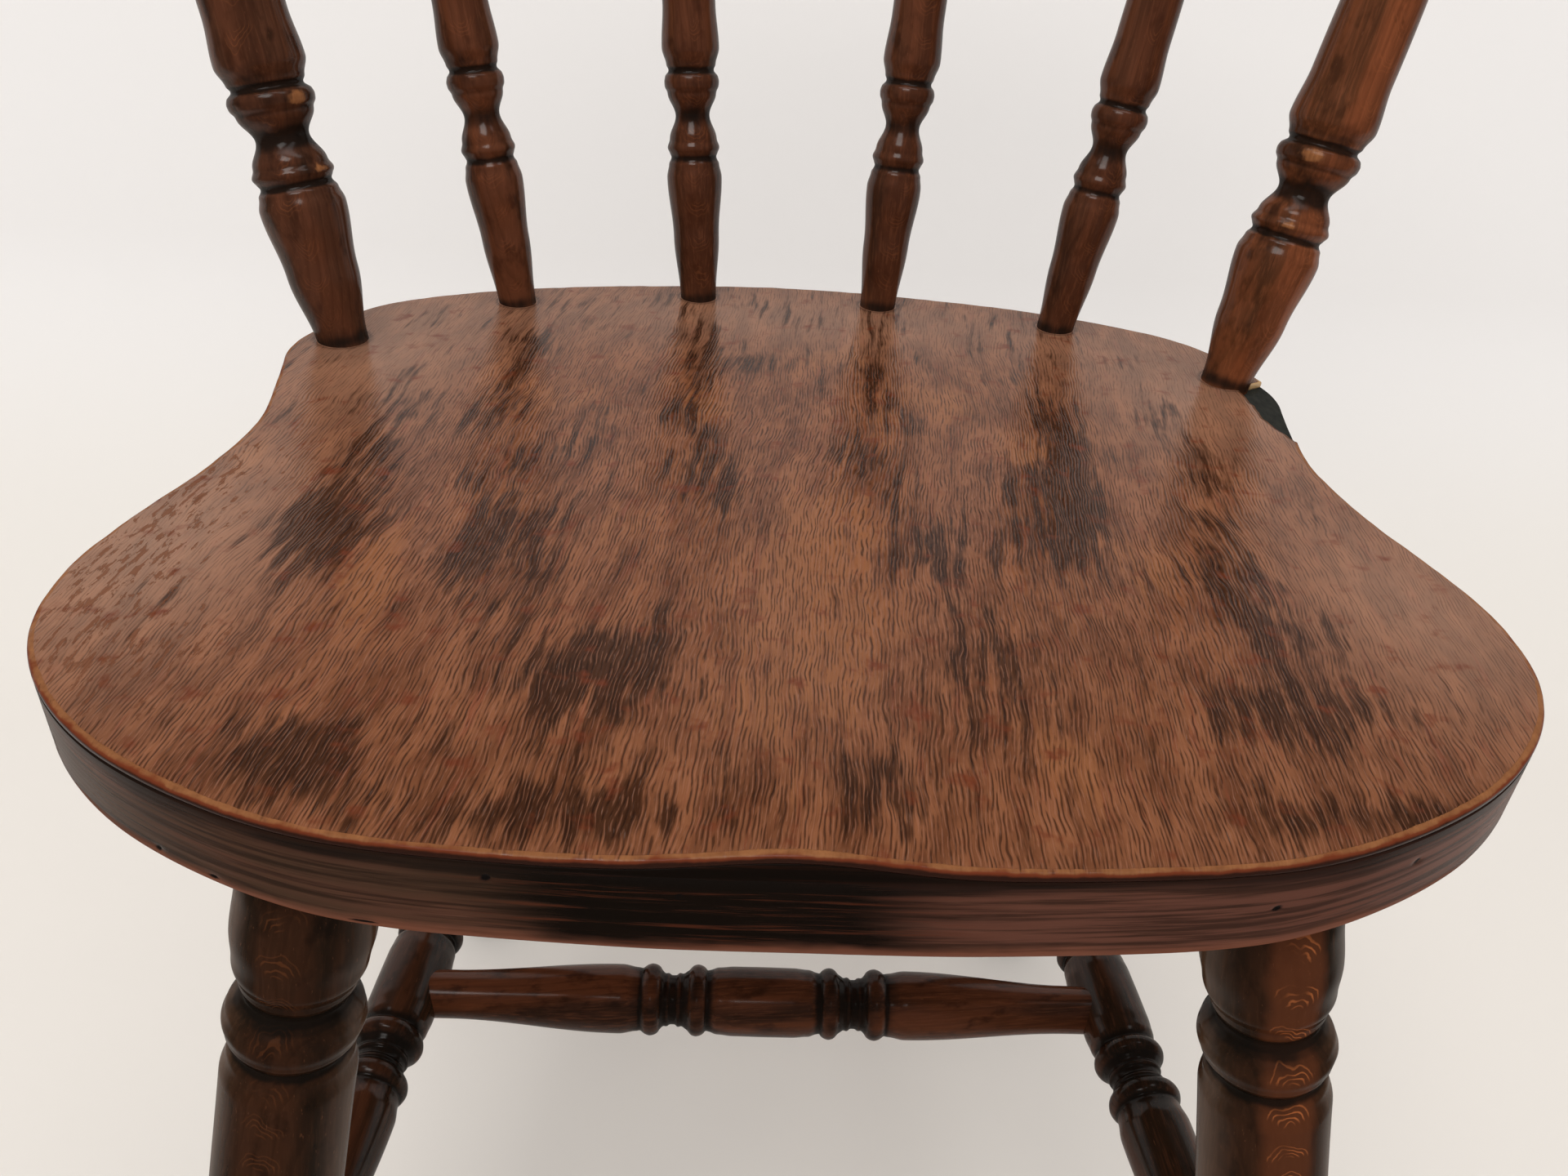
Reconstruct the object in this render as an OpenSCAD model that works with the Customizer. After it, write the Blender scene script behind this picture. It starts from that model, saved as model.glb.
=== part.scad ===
// Spindle-back kitchen chair: a moulded two-part seat, two heavier back posts and four spindles
// under a curved crest rail, and four turned legs tied by an H of turned stretchers.
// X runs to the right seen from the front, Y to the back, Z up. The floor is Z = 0.

/* [Seat] */
// Height of the seat's top edge above the floor
seat_height = 445; // [400:5:520]
// Widest width of the seat, over its front lobes
seat_width = 433; // [350:1:540]
// Depth of the seat, from front edge to back edge on the centre line
seat_depth = 386; // [310:1:480]
// Thickness of the laminated core, without the face sheet
core_thickness = 29; // [25:1:36]
// Thickness of the embossed face sheet on top of the core
sheet_thickness = 3; // [2:0.5:5]
// Height of the pommel in the middle of the front edge
pommel_rise = 4.6; // [0:0.2:8]
// Half width of the pommel
pommel_spread = 30; // [15:1:60]
// How far each side draws in at the waist, behind the front lobes
waist_inset = 20; // [5:1:32]
// How far the rear corners stand inside the widest width
corner_inset = 10; // [6:1:24]
// Radius of the rounded lower edge
lower_round = 7; // [3:0.5:10]

/* [Back] */
// Height of the crest rail's underside above the seat
back_height = 325; // [240:1:420]
// Distance of each outer post from the rear corner's side
post_inset = 18; // [14:0.5:28]
// Distance of the outer posts in front of the seat's back edge
post_setback = 91; // [80:1:110]
// Distance of the spindles in front of the seat's back edge
spindle_setback = 17; // [14:0.5:26]
// Largest diameter of an outer post
post_d = 34.4; // [30:0.2:38]
// Largest diameter of a spindle
spindle_d = 25.2; // [22:0.2:30]
// Height of the upper ring above the seat, along a post or spindle
ring_height = 94; // [80:1:120]
// Diameter of the tenons at both ends of an outer post
post_tenon_d = 15; // [12:0.5:18]
// Diameter of the tenons at both ends of a spindle
spindle_tenon_d = 12; // [9:0.5:14]

/* [Crest rail] */
// Height of the crest rail in the middle
crest_height = 72; // [50:1:110]
// Thickness of the crest rail
crest_thickness = 22; // [20:0.5:30]
// Radius of the crest rail's curve in plan, at its underside
crest_radius = 442; // [380:1:600]
// How far the crest rail runs past the outer posts
crest_overhang = 24; // [16:1:50]

/* [Legs] */
// Largest diameter of a front leg
front_leg_d = 38.2; // [34:0.2:44]
// Largest diameter of a rear leg
rear_leg_d = 34; // [30:0.5:40]
// Diameter of every foot
foot_d = 27; // [22:0.5:34]
// Diameter of the tenon at the top of every leg
leg_tenon_d = 22; // [18:0.5:26]
// Distance of the front legs behind the seat's front edge, at the seat's underside
front_leg_setback = 36; // [32:1:60]
// Distance of the front legs inside the seat's widest width, at the underside
front_leg_inset = 90; // [70:1:110]

/* [Stretchers] */
// Height of the stretchers above the floor
stretcher_height = 194; // [120:1:230]
// Largest diameter of a stretcher, over its rings
stretcher_d = 30.5; // [27:0.5:36]
// Diameter of a stretcher's ends, which are their own tenons
stretcher_end_d = 20.5; // [16:0.5:22]

/* [Joints] */
// Clearance round every tenon in its socket
fit_clearance = 0.1; // [0.05:0.05:0.2]
// Depth of the tenon sockets in the seat core and the crest rail
socket_depth = 20; // [14:1:21]

/* [Hidden] */
$fn = 64;

// Colours of the dark stained finish on each kind of piece
core_colour = [0.20, 0.12, 0.08];
sheet_colour = [0.42, 0.27, 0.20];
turned_colour = [0.27, 0.15, 0.10];

// Levels
sheet_top = seat_height;
core_top = seat_height - sheet_thickness;
underside = core_top - core_thickness;
crest_under = seat_height + back_height;

// Front foot: slopes of the leg's axis, outward and forward for each unit down
front_splay = 0.197;
front_rake = 0.13;
rear_splay = 0.176;
rear_rake = 0.247;
rear_leg_in = 111.5;        // rear legs inside the widest width
rear_leg_fore = 110;        // rear legs in front of the back edge
foot_straight = 14;         // straight end of every leg above the floor

// The middle of the whole chair lies over Y = 0, between the front feet and the crest rail's back
front_norm = norm([front_splay, front_rake, 1]);
front_foot_reach = front_leg_setback - front_rake * underside
    - foot_d / 2 * sqrt(1 - pow(front_splay / front_norm, 2)) * front_norm;

// Back posts and spindles: X of the foot of each, and how far each leans outward for each unit
// up. The posts' lean back is chosen, and it sets the crest rail over their heads. The spindles'
// heads stand on the crest rail's curve, which sets their own lean back.
corner_half = seat_width / 2 - corner_inset;
post_x = corner_half - post_inset;
spindle_x = [post_x * 0.226, post_x * 0.661];
post_lean = [0.205, 0.145];
spindle_splay = [0.059, 0.153];
crest_lean = 0.15;
post_top_x = post_x + post_lean[0] * back_height;
// How far the crest curve's middle lies behind the curve at the posts' heads, or at another X
function crest_rise(x) = sqrt(pow(crest_radius, 2) - pow(x, 2))
    - sqrt(pow(crest_radius, 2) - pow(post_top_x, 2));
crest_back_reach = seat_depth - post_setback + post_lean[1] * back_height + crest_rise(0)
    + crest_thickness / 2 * norm([1, crest_lean]) + crest_lean * (crest_height - crest_thickness / 2);

// Y of the seat's front edge and of its back edge
front_y = -(front_foot_reach + crest_back_reach) / 2;
back_y = front_y + seat_depth;

// ---- Seat outline ----------------------------------------------------------------------------

half_width = seat_width / 2;
waist_half = half_width - waist_inset;

// Right half of the outline from the middle of the back edge to the middle of the front edge,
// as points that a smooth curve passes through: X, and the distance in front of the back edge
half_points = [
    [0, 0],
    [half_width * 0.45, 12],
    [half_width * 0.73, 33],
    [corner_half - 18, 55.5],
    [corner_half, 95],
    [corner_half - 4, seat_depth * 0.336],
    [waist_half, seat_depth * 0.439],
    [waist_half + 4.5, seat_depth * 0.538],
    [half_width - 5.5, seat_depth * 0.631],
    [half_width, seat_depth * 0.709],
    [half_width - 4.5, seat_depth * 0.792],
    [half_width - 22.5, seat_depth * 0.867],
    [half_width * 0.753, seat_depth * 0.931],
    [half_width * 0.536, seat_depth * 0.981],
    [half_width * 0.254, seat_depth - 1],
    [0, seat_depth]
];
last = len(half_points) - 1;
// The point before the first and after the last are mirror images, so the curve meets the
// centre line squarely
function control(i) = i < 0 ? [-half_points[-i][0], half_points[-i][1]]
    : i > last ? [-half_points[2 * last - i][0], half_points[2 * last - i][1]]
    : half_points[i];
function spline(a, b, c, d, t) = (2 * b + (c - a) * t + (2 * a - 5 * b + 4 * c - d) * pow(t, 2)
    + (3 * b - a - 3 * c + d) * pow(t, 3)) / 2;
steps = 3;                  // outline points for each stretch between two control points
right_half = [
    for (i = [0 : last - 1], k = [0 : steps - 1])
        let (p = spline(control(i - 1), control(i), control(i + 1), control(i + 2), k / steps))
            [p[0], back_y - p[1]]
];
left_half = [
    for (k = [len(right_half) - 1 : -1 : 1]) [-right_half[k][0], right_half[k][1]]
];
outline = concat(right_half, [[0, front_y]], left_half);
count = len(outline);
seat_middle = [0, back_y - seat_depth / 2];
round_share = lower_round / (seat_width / 2);

// Height of the pommel over a point of the seat: highest at the middle of the front edge, and
// gone a third of the way back
function pommel(p) = let (back = max(0, 1 - (p[1] - front_y) / (seat_depth / 3)))
    pommel_rise * exp(-pow(p[0] / pommel_spread, 2)) * pow(back, 2) * (3 - 2 * back);
// One ring of seat points: the outline drawn in by a share, at a height that may follow the pommel
function ring(share, z, follow) = [
    for (p = outline)
        let (q = seat_middle + (p - seat_middle) * share)
            [q[0], q[1], z + (follow ? pommel(q) : 0)]
];
// Faces between ring k and ring k + 1, split on one diagonal or the other, and the fans that
// close both ends
function band(k, other) = [
    for (i = [0 : count - 1], half = [0, 1])
        let (j = (i + 1) % count, low = 1 + k * count, high = low + count)
            other
                ? (half == 0 ? [low + i, low + j, high + j] : [low + i, high + j, high + i])
                : (half == 0 ? [low + i, low + j, high + i] : [low + j, high + j, high + i])
];
function fans(rings) = concat(
    [for (i = [0 : count - 1]) [0, 1 + (i + 1) % count, 1 + i]],
    [
        for (i = [0 : count - 1])
            let (top = 1 + (rings - 1) * count) [top + i, top + (i + 1) % count, 1 + rings * count]
    ]
);
// Solid through a stack of rings, closed by a point in the middle of its bottom and of its top.
// The first bands take the other diagonal, so that the sheet's lower face is the core's top face.
module ring_solid(rings, bottom_z, top_z, other_bands = 0) {
    points = concat(
        [[seat_middle[0], seat_middle[1], bottom_z]],
        [for (r = rings, p = r) p],
        [[seat_middle[0], seat_middle[1], top_z]]
    );
    faces = concat(
        fans(len(rings)),
        [for (k = [0 : len(rings) - 2], f = band(k, k < other_bands)) f]
    );
    polyhedron(points = points, faces = faces);
}
round_steps = 4;            // facets round the lower edge
pommel_shares = [0.97, 0.88, 0.75, 0.62];

// ---- Turning helpers -------------------------------------------------------------------------

// Stands a child that is built along Z at a point, turned towards another point. The line where
// a round surface closes on itself is kept clear of the direction of lean.
seam_turn = 37;
module aim(start, end) {
    d = end - start;
    translate(start) rotate([0, acos(d[2] / norm(d)), atan2(d[1], d[0])])
        rotate([0, 0, seam_turn]) children();
}
// Solid of revolution through [height, diameter] stations, smoothed between stations whose third
// value is 1 and straight between the others
turn_steps = 5;
function station(s, i) = s[max(0, min(len(s) - 1, i))];
function turned_line(s) = concat(
    [
        for (i = [0 : len(s) - 2], k = [0 : (s[i][2] == 1 ? turn_steps : 1) - 1])
            let (t = k / (s[i][2] == 1 ? turn_steps : 1), w = (1 - cos(180 * t)) / 2)
                [s[i][1] + (s[i + 1][1] - s[i][1]) * w, s[i][0] + (s[i + 1][0] - s[i][0]) * t]
    ],
    [[s[len(s) - 1][1], s[len(s) - 1][0]]]
);
module turned(s) {
    line = [for (p = turned_line(s)) [p[0] / 2, p[1]]];
    rotate_extrude() polygon(concat([[0, s[0][0]]], line, [[0, s[len(s) - 1][0]]]));
}
// A piece of the right-hand half, or the same piece on the left
module left_hand() { mirror([1, 0, 0]) children(); }
module both_sides() {
    children();
    left_hand() children();
}
// Every leaning turning is made longer than it is by this much at both ends, and cut flush
run_on = 10;
// Everything above or below a level
big = 2000;
module above(z) { translate([-big / 2, -big / 2, z]) cube(big); }
module below(z) { translate([-big / 2, -big / 2, z - big]) cube(big); }

// ---- Back posts and spindles -----------------------------------------------------------------

function lean_point(x, y, lean, z) =
    [x + lean[0] * (z - seat_height), y + lean[1] * (z - seat_height), z];
// Y of the seat's back edge at a distance from the centre line, on the flat arc of the back edge
back_arc_radius = 394;
function back_edge(x) = back_y - back_arc_radius + sqrt(pow(back_arc_radius, 2) - pow(x, 2));

// Stations of a back turning of a given largest diameter and neck, along its axis from the seat
function back_stations(d, base, length) = let (r = ring_height) [
    [-run_on, base, 0],
    [0, base, 1],
    [r * 0.30, d * 0.83, 1],
    [r * 0.575, d * 0.985, 1],
    [r * 0.655, d * 0.86, 0],
    [r * 0.668, d * 0.80, 0],
    [r * 0.68, d * 0.86, 1],
    [r * 0.71, d * 0.93, 1],
    [r * 0.75, d * 0.84, 1],
    [r * 0.855, d * 0.60, 1],
    [r * 0.955, d * 0.86, 1],
    [r * 1.005, d * 0.97, 1],
    [r * 1.04, d * 0.90, 0],
    [r * 1.05, d * 0.80, 0],
    [r * 1.065, d * 0.82, 1],
    [r * 1.15, d, 1],
    [r * 1.34, d * 0.91, 1],
    [length * 0.72, d * 0.70, 1],
    [length, base, 0],
    [length + run_on, base, 0]
];
module back_turning(x, y, lean, d, base, tenon_d) {
    foot = lean_point(x, y, lean, seat_height);
    head = lean_point(x, y, lean, crest_under);
    span = norm(head - foot);
    color(turned_colour) union() {
        difference() {
            aim(foot, head) turned(back_stations(d, base, span));
            below(seat_height);
            above(crest_under);
        }
        tenon(x, y, lean, tenon_d / 2, 1);
    }
}
// Straight tenon of a back turning, from inside the seat core to inside the crest rail
module tenon(x, y, lean, r, gap) {
    low = lean_point(x, y, lean, core_top - socket_depth + gap);
    high = lean_point(x, y, lean, crest_under + socket_depth - gap);
    aim(low, high) cylinder(r = r, h = norm(high - low));
}
post_y = back_y - post_setback;
post_top_y = post_y + post_lean[1] * back_height;
spindle_y = [for (x = spindle_x) back_edge(x) - spindle_setback];
spindle_lean = [
    for (i = [0, 1])
        let (splay = spindle_splay[i], head_x = spindle_x[i] + splay * back_height)
            [splay, (post_top_y + crest_rise(head_x) - spindle_y[i]) / back_height]
];
post_base = 0.6;            // diameter at the seat over the largest diameter
spindle_base = 0.66;
module post() {
    back_turning(post_x, post_y, post_lean, post_d, post_d * post_base, post_tenon_d);
}
module spindle(i) {
    back_turning(spindle_x[i], spindle_y[i], spindle_lean[i],
        spindle_d, spindle_d * spindle_base, spindle_tenon_d);
}
// Sockets of all six back turnings
module back_sockets() {
    both_sides() {
        tenon(post_x, post_y, post_lean, post_tenon_d / 2 + fit_clearance, 0);
        for (i = [0, 1])
            tenon(spindle_x[i], spindle_y[i], spindle_lean[i],
                spindle_tenon_d / 2 + fit_clearance, 0);
    }
}

// ---- Legs and stretchers ---------------------------------------------------------------------

front_leg_x = half_width - front_leg_inset;
rear_leg_x = half_width - rear_leg_in;
function front_leg_at(z) = let (drop = underside - z)
    [front_leg_x + front_splay * drop, front_y + front_leg_setback - front_rake * drop, z];
function rear_leg_at(z) = let (drop = underside - z)
    [rear_leg_x + rear_splay * drop, back_y - rear_leg_fore + rear_rake * drop, z];

// Stations of a front leg below the seat: egg, ring, then a long column that tapers to the foot
function front_stations(length) = let (d = front_leg_d) [
    [-run_on, d * 0.80, 0],
    [0, d * 0.86, 1],
    [27, d * 0.985, 1],
    [44, d * 0.86, 1],
    [49, d * 0.74, 0],
    [51, d * 0.74, 1],
    [56, d * 0.94, 1],
    [60, d, 1],
    [64, d * 0.94, 1],
    [68, d * 0.83, 0],
    [70, d * 0.83, 1],
    [80, d * 0.975, 1],
    [140, d, 1],
    [length * 0.62, d * 0.93, 1],
    [length - foot_straight, foot_d, 0],
    [length + run_on, foot_d, 0]
];
function rear_stations(length) = [
    [-run_on, rear_leg_d * 0.82, 0],
    [0, rear_leg_d * 0.85, 1],
    [length * 0.42, rear_leg_d, 1],
    [length - foot_straight, foot_d, 0],
    [length + run_on, foot_d, 0]
];
module leg(top, foot, stations) {
    color(turned_colour) difference() {
        union() {
            difference() {
                aim(top, foot) turned(stations);
                above(underside);
                below(0);
            }
            leg_tenon(top, foot, leg_tenon_d / 2, 1);
        }
        stretcher_sockets();
    }
}
// Straight tenon of a leg in the seat core's underside, rooted inside the leg
tenon_root = 12;
module leg_tenon(top, foot, r, gap) {
    d = (top - foot) / (top[2] - foot[2]);
    aim(top - d * tenon_root, top + d * (socket_depth - gap))
        cylinder(r = r, h = norm(d) * (tenon_root + socket_depth - gap));
}
module leg_sockets() {
    r = leg_tenon_d / 2 + fit_clearance;
    both_sides() {
        leg_tenon(front_leg_at(underside), front_leg_at(0), r, 0);
        leg_tenon(rear_leg_at(underside), rear_leg_at(0), r, 0);
    }
}
module front_leg() {
    top = front_leg_at(underside);
    foot = front_leg_at(0);
    leg(top, foot, front_stations(norm(top - foot)));
}
module rear_leg() {
    top = rear_leg_at(underside);
    foot = rear_leg_at(0);
    leg(top, foot, rear_stations(norm(top - foot)));
}

// Side stretchers run from leg axis to leg axis, and stop short of it by this much
bottom_gap = 1;
cross_share = 0.48;         // where the cross stretcher meets a side stretcher, from its front end
ring_share = 0.49;          // where the middle of a side stretcher's rings is, from its front end
side_front = front_leg_at(stretcher_height);
side_rear = rear_leg_at(stretcher_height);
side_middle = side_front * (1 - cross_share) + side_rear * cross_share;
barrel_share = 0.97;        // barrel diameter over ring diameter
cross_reach = 4;            // cross stretcher ends this far outside a side stretcher's axis

// Stations of a stretcher on both sides of its middle, which is at height 0
function half_stretcher(half) = let (d = stretcher_d) [
    [0, d * barrel_share, 1],
    [13, d * barrel_share, 1],
    [24, d * 0.86, 0],
    [25.2, d * 0.82, 0],
    [26, d * 0.92, 1],
    [29.4, d, 1],
    [32.6, d * 0.92, 0],
    [33.6, d * 0.82, 1],
    [40, d * 0.68, 1],
    [45.2, d * 0.82, 0],
    [46.2, d * 0.92, 1],
    [49.8, d, 1],
    [53.2, d * 0.92, 0],
    [54, d * 0.84, 0],
    [55, d * 0.87, 1],
    [63.5, d * 0.96, 1],
    [half - 14, stretcher_end_d, 0],
    [half, stretcher_end_d, 0]
];
function flipped(s) = [
    for (i = [len(s) - 1 : -1 : 1]) [-s[i][0], s[i][1], s[i - 1][2]]
];
function full_stretcher(before, after) =
    concat(flipped(half_stretcher(before)), half_stretcher(after));
module stretcher(start, end, share = 0.5) {
    middle = start * (1 - share) + end * share;
    aim(middle, end) turned(full_stretcher(norm(middle - start), norm(end - middle)));
}
module side_stretcher() {
    run = (side_rear - side_front) / norm(side_rear - side_front);
    color(turned_colour) difference() {
        stretcher(side_front + run * bottom_gap, side_rear - run * bottom_gap, ring_share);
        bored(cross_end, seat_centre_line, stretcher_d);
    }
}
// The cross stretcher's socket ends here, and its mirror image on the centre line faces it
cross_end = side_middle - [cross_reach, 0, 0];
seat_centre_line = [0, side_middle[1], side_middle[2]];
module cross_stretcher() {
    right = cross_end - [bottom_gap, 0, 0];
    color(turned_colour) stretcher([-right[0], right[1], right[2]], right);
}
// Round sockets bored from one end point towards the other
module bored(start, end, depth) {
    aim(start, end) cylinder(r = stretcher_end_d / 2 + fit_clearance, h = depth);
}
module stretcher_sockets() {
    bored(side_front, side_rear, front_leg_d);
    bored(side_rear, side_front, rear_leg_d);
}

// ---- Crest rail ------------------------------------------------------------------------------

// Section of the rail: it leans outward as it rises and has a rounded top and lower corners
function crest_section() = let (h = crest_height, t = crest_thickness, r = crest_thickness / 2)
    concat(
        [[-t / 2, 0], [t / 2, 0]],
        [for (a = [0 : 15 : 180]) [r * cos(a), h - r + r * sin(a)]]
    );
crest_centre_y = post_top_y + crest_rise(0) - crest_radius;
crest_half = post_top_x + crest_overhang;
crest_angle = 60;           // half the sweep, before the ends are trimmed
end_round = 26;             // radius of the rail's upper ends, seen from the front
end_steps = 8;

module crest_rail() {
    color(turned_colour) difference() {
        intersection() {
            translate([0, crest_centre_y, crest_under])
                rotate([0, 0, 90 - crest_angle]) rotate_extrude(angle = 2 * crest_angle, $fn = 128)
                    polygon([
                        for (p = crest_section()) [crest_radius + p[0] + crest_lean * p[1], p[1]]
                    ]);
            translate([0, big / 2, crest_under]) rotate([90, 0, 0])
                linear_extrude(height = big) polygon(crest_front());
        }
        back_sockets();
    }
}
// Outline of the rail from the front: straight below, rounded ends and a gently arched top
crest_drop = 12;            // how much lower the rail is at its ends than in the middle
foot_round = 9;             // radius of the rail's lower ends
top_turn = 80;              // degrees that each upper end turns through
arch_steps = 6;
function crest_front() = let (e = crest_half, r = end_round, h = crest_height - crest_drop)
    concat(
        [[-(e - foot_round), -1], [e - foot_round, -1]],
        [for (k = [0 : end_steps]) let (a = 90 * k / end_steps - 90)
            [e - foot_round + foot_round * cos(a), foot_round + foot_round * sin(a)]],
        [for (k = [0 : end_steps]) let (a = top_turn * k / end_steps)
            [e - r + r * cos(a), h - r + r * sin(a)]],
        [for (k = [1 : 2 * arch_steps - 1]) let (x = (e - r) * (1 - k / arch_steps))
            [x, h + (crest_drop + 1) * cos(90 * x / (e - r))]],
        [for (k = [end_steps : -1 : 0]) let (a = top_turn * k / end_steps)
            [-(e - r + r * cos(a)), h - r + r * sin(a)]],
        [for (k = [end_steps : -1 : 0]) let (a = 90 * k / end_steps - 90)
            [-(e - foot_round + foot_round * cos(a)), foot_round + foot_round * sin(a)]]
    );

// ---- Seat ------------------------------------------------------------------------------------

module seat_core() {
    lower = [
        for (k = [0 : round_steps])
            let (a = 90 * k / round_steps)
                ring(1 - round_share * (1 - sin(a)), underside + lower_round * (1 - cos(a)), false)
    ];
    upper = concat([ring(1, core_top, true)], [for (s = pommel_shares) ring(s, core_top, true)]);
    color(core_colour) difference() {
        ring_solid(concat(lower, upper), underside, core_top);
        leg_sockets();
        back_sockets();
    }
}

// The face sheet has broken away along the right-hand edge behind the waist: this is the outline
// of the lost piece, from the back corner of the break round to the waist
break_back = 97;            // distance of the break's rear end in front of the back edge
break_length = 52;          // length of the break along the edge
break_depth = 15;           // how far the break runs in from the rear corner's side
module lost_piece() {
    x = corner_half - break_depth;
    y = back_y - break_back;
    out = half_width;
    translate([0, 0, core_top - 1]) linear_extrude(height = sheet_thickness + pommel_rise + 2)
        polygon([
            [x, y - 2], [x + 4.5, y + 0.5], [x + 8, y - 0.6], [out, y + 1.5],
            [out, y - break_length], [x + 3.2, y - break_length + 2],
            [x + 2.4, y - break_length * 0.72], [x + 1.4, y - break_length * 0.5],
            [x + 1.9, y - break_length * 0.38], [x + 0.4, y - break_length * 0.2]
        ]);
}
module seat_face_sheet() {
    edge_ease = 0.6;
    shares = [for (k = [len(pommel_shares) - 1 : -1 : 0]) pommel_shares[k]];
    lower = concat([for (s = shares) ring(s, core_top, true)], [ring(1, core_top, true)]);
    upper = concat(
        [ring(1, sheet_top - edge_ease, true), ring(1 - edge_ease / half_width, sheet_top, true)],
        [for (s = pommel_shares) ring(s, sheet_top, true)]
    );
    color(sheet_colour) difference() {
        ring_solid(concat(lower, upper), core_top, sheet_top, len(pommel_shares));
        back_sockets();
        lost_piece();
    }
}

// ---- Nodes -----------------------------------------------------------------------------------

module post_left() { left_hand() post(); }
module post_right() { post(); }
module spindle_outer_left() { left_hand() spindle(1); }
module spindle_inner_left() { left_hand() spindle(0); }
module spindle_inner_right() { spindle(0); }
module spindle_outer_right() { spindle(1); }
module front_leg_left() { left_hand() front_leg(); }
module front_leg_right() { front_leg(); }
module rear_leg_left() { left_hand() rear_leg(); }
module rear_leg_right() { rear_leg(); }
module side_stretcher_left() { left_hand() side_stretcher(); }
module side_stretcher_right() { side_stretcher(); }

seat_core();
seat_face_sheet();
post_left();
post_right();
spindle_outer_left();
spindle_inner_left();
spindle_inner_right();
spindle_outer_right();
crest_rail();
front_leg_left();
front_leg_right();
rear_leg_left();
rear_leg_right();
side_stretcher_left();
side_stretcher_right();
cross_stretcher();
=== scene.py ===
"""Spindle-back kitchen chair with a worn, embossed plywood seat, dressed on its CAD frame."""

import math

import bpy
import numpy as np
from mathutils import Matrix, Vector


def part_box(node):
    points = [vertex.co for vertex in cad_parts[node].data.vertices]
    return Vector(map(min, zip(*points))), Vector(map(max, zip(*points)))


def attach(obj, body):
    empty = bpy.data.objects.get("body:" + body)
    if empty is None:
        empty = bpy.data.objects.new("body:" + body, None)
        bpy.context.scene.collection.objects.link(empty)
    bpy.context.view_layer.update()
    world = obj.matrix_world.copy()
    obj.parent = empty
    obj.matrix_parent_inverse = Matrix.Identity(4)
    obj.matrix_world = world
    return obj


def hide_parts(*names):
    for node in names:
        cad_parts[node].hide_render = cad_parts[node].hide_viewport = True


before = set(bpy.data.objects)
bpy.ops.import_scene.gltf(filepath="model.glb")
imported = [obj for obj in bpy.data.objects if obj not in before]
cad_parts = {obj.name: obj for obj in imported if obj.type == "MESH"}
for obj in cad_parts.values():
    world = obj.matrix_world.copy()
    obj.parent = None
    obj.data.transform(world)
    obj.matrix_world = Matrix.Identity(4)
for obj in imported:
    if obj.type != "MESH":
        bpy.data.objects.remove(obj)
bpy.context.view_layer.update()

scene = bpy.context.scene

# ==== Seat core ===================================================================================
# The real core is laminated beech, 29 mm thick, sawn to a lobed outline with a pommel in front and
# rounded over below. Its edge is stained near black and lacquered, streaked along the plies, and
# rubbed red-brown along the lower corner. The legs' and the back's tenons are glued into it.

MM = 0.001
rng = np.random.default_rng(11)


def cad_points(name):
    """Vertices of a CAD node, in metres."""
    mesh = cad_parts[name].data
    flat = np.empty(3 * len(mesh.vertices))
    mesh.vertices.foreach_get("co", flat)
    return flat.reshape(-1, 3)


def piece(name, node, slot, grid, material, ends=None, **fields):
    """Closed surface over a grid of rows by columns whose columns wrap round. The first and the last row
    each close on one point, their own middle unless ends gives both. fields are one value or vector a
    grid point, kept as attributes."""
    rows, cols = grid.shape[:2]
    if ends is None:
        ends = [grid[0].mean(0), grid[-1].mean(0)]
    points = np.concatenate([grid.reshape(-1, 3), np.array(ends)])
    i, j = np.meshgrid(np.arange(rows - 1), np.arange(cols), indexing="ij")
    k = (j + 1) % cols
    quads = np.stack([i * cols + j, i * cols + k, (i + 1) * cols + k, (i + 1) * cols + j], -1)
    quads = quads.reshape(-1, 4)
    around = np.arange(cols)
    after = (around + 1) % cols
    low = np.stack([np.full(cols, rows * cols), after, around], -1)
    last = (rows - 1) * cols
    high = np.stack([np.full(cols, rows * cols + 1), last + around, last + after], -1)
    fans = np.concatenate([low, high])
    a, b, c, d = (points[quads[:, n]] for n in range(4))
    volume = np.einsum("ij,ij->", a, np.cross(b, c)) + np.einsum("ij,ij->", a, np.cross(c, d))
    if volume < 0:
        quads, fans = quads[:, ::-1], fans[:, ::-1]
    corners = np.concatenate([quads.ravel(), fans.ravel()])
    starts = np.concatenate([np.arange(len(quads)) * 4, len(quads) * 4 + np.arange(len(fans)) * 3])
    mesh = bpy.data.meshes.new(name)
    mesh.vertices.add(len(points))
    mesh.vertices.foreach_set("co", points.astype(np.float32).ravel())
    mesh.loops.add(len(corners))
    mesh.loops.foreach_set("vertex_index", corners.astype(np.int32))
    mesh.polygons.add(len(starts))
    mesh.polygons.foreach_set("loop_start", starts.astype(np.int32))
    mesh.update(calc_edges=True)
    mesh.validate()
    mesh.shade_smooth()
    for field, value in fields.items():
        value = np.asarray(value, float).reshape(rows * cols, -1)
        value = np.concatenate([value, value[:cols].mean(0)[None], value[-cols:].mean(0)[None]])
        vector = value.shape[1] == 3
        made = mesh.attributes.new(field, "FLOAT_VECTOR" if vector else "FLOAT", "POINT")
        made.data.foreach_set("vector" if vector else "value", value.astype(np.float32).ravel())
    mesh.materials.append(material)
    made = bpy.data.objects.new(name, mesh)
    scene.collection.objects.link(made)
    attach(made, "root")
    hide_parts(node)


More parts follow.
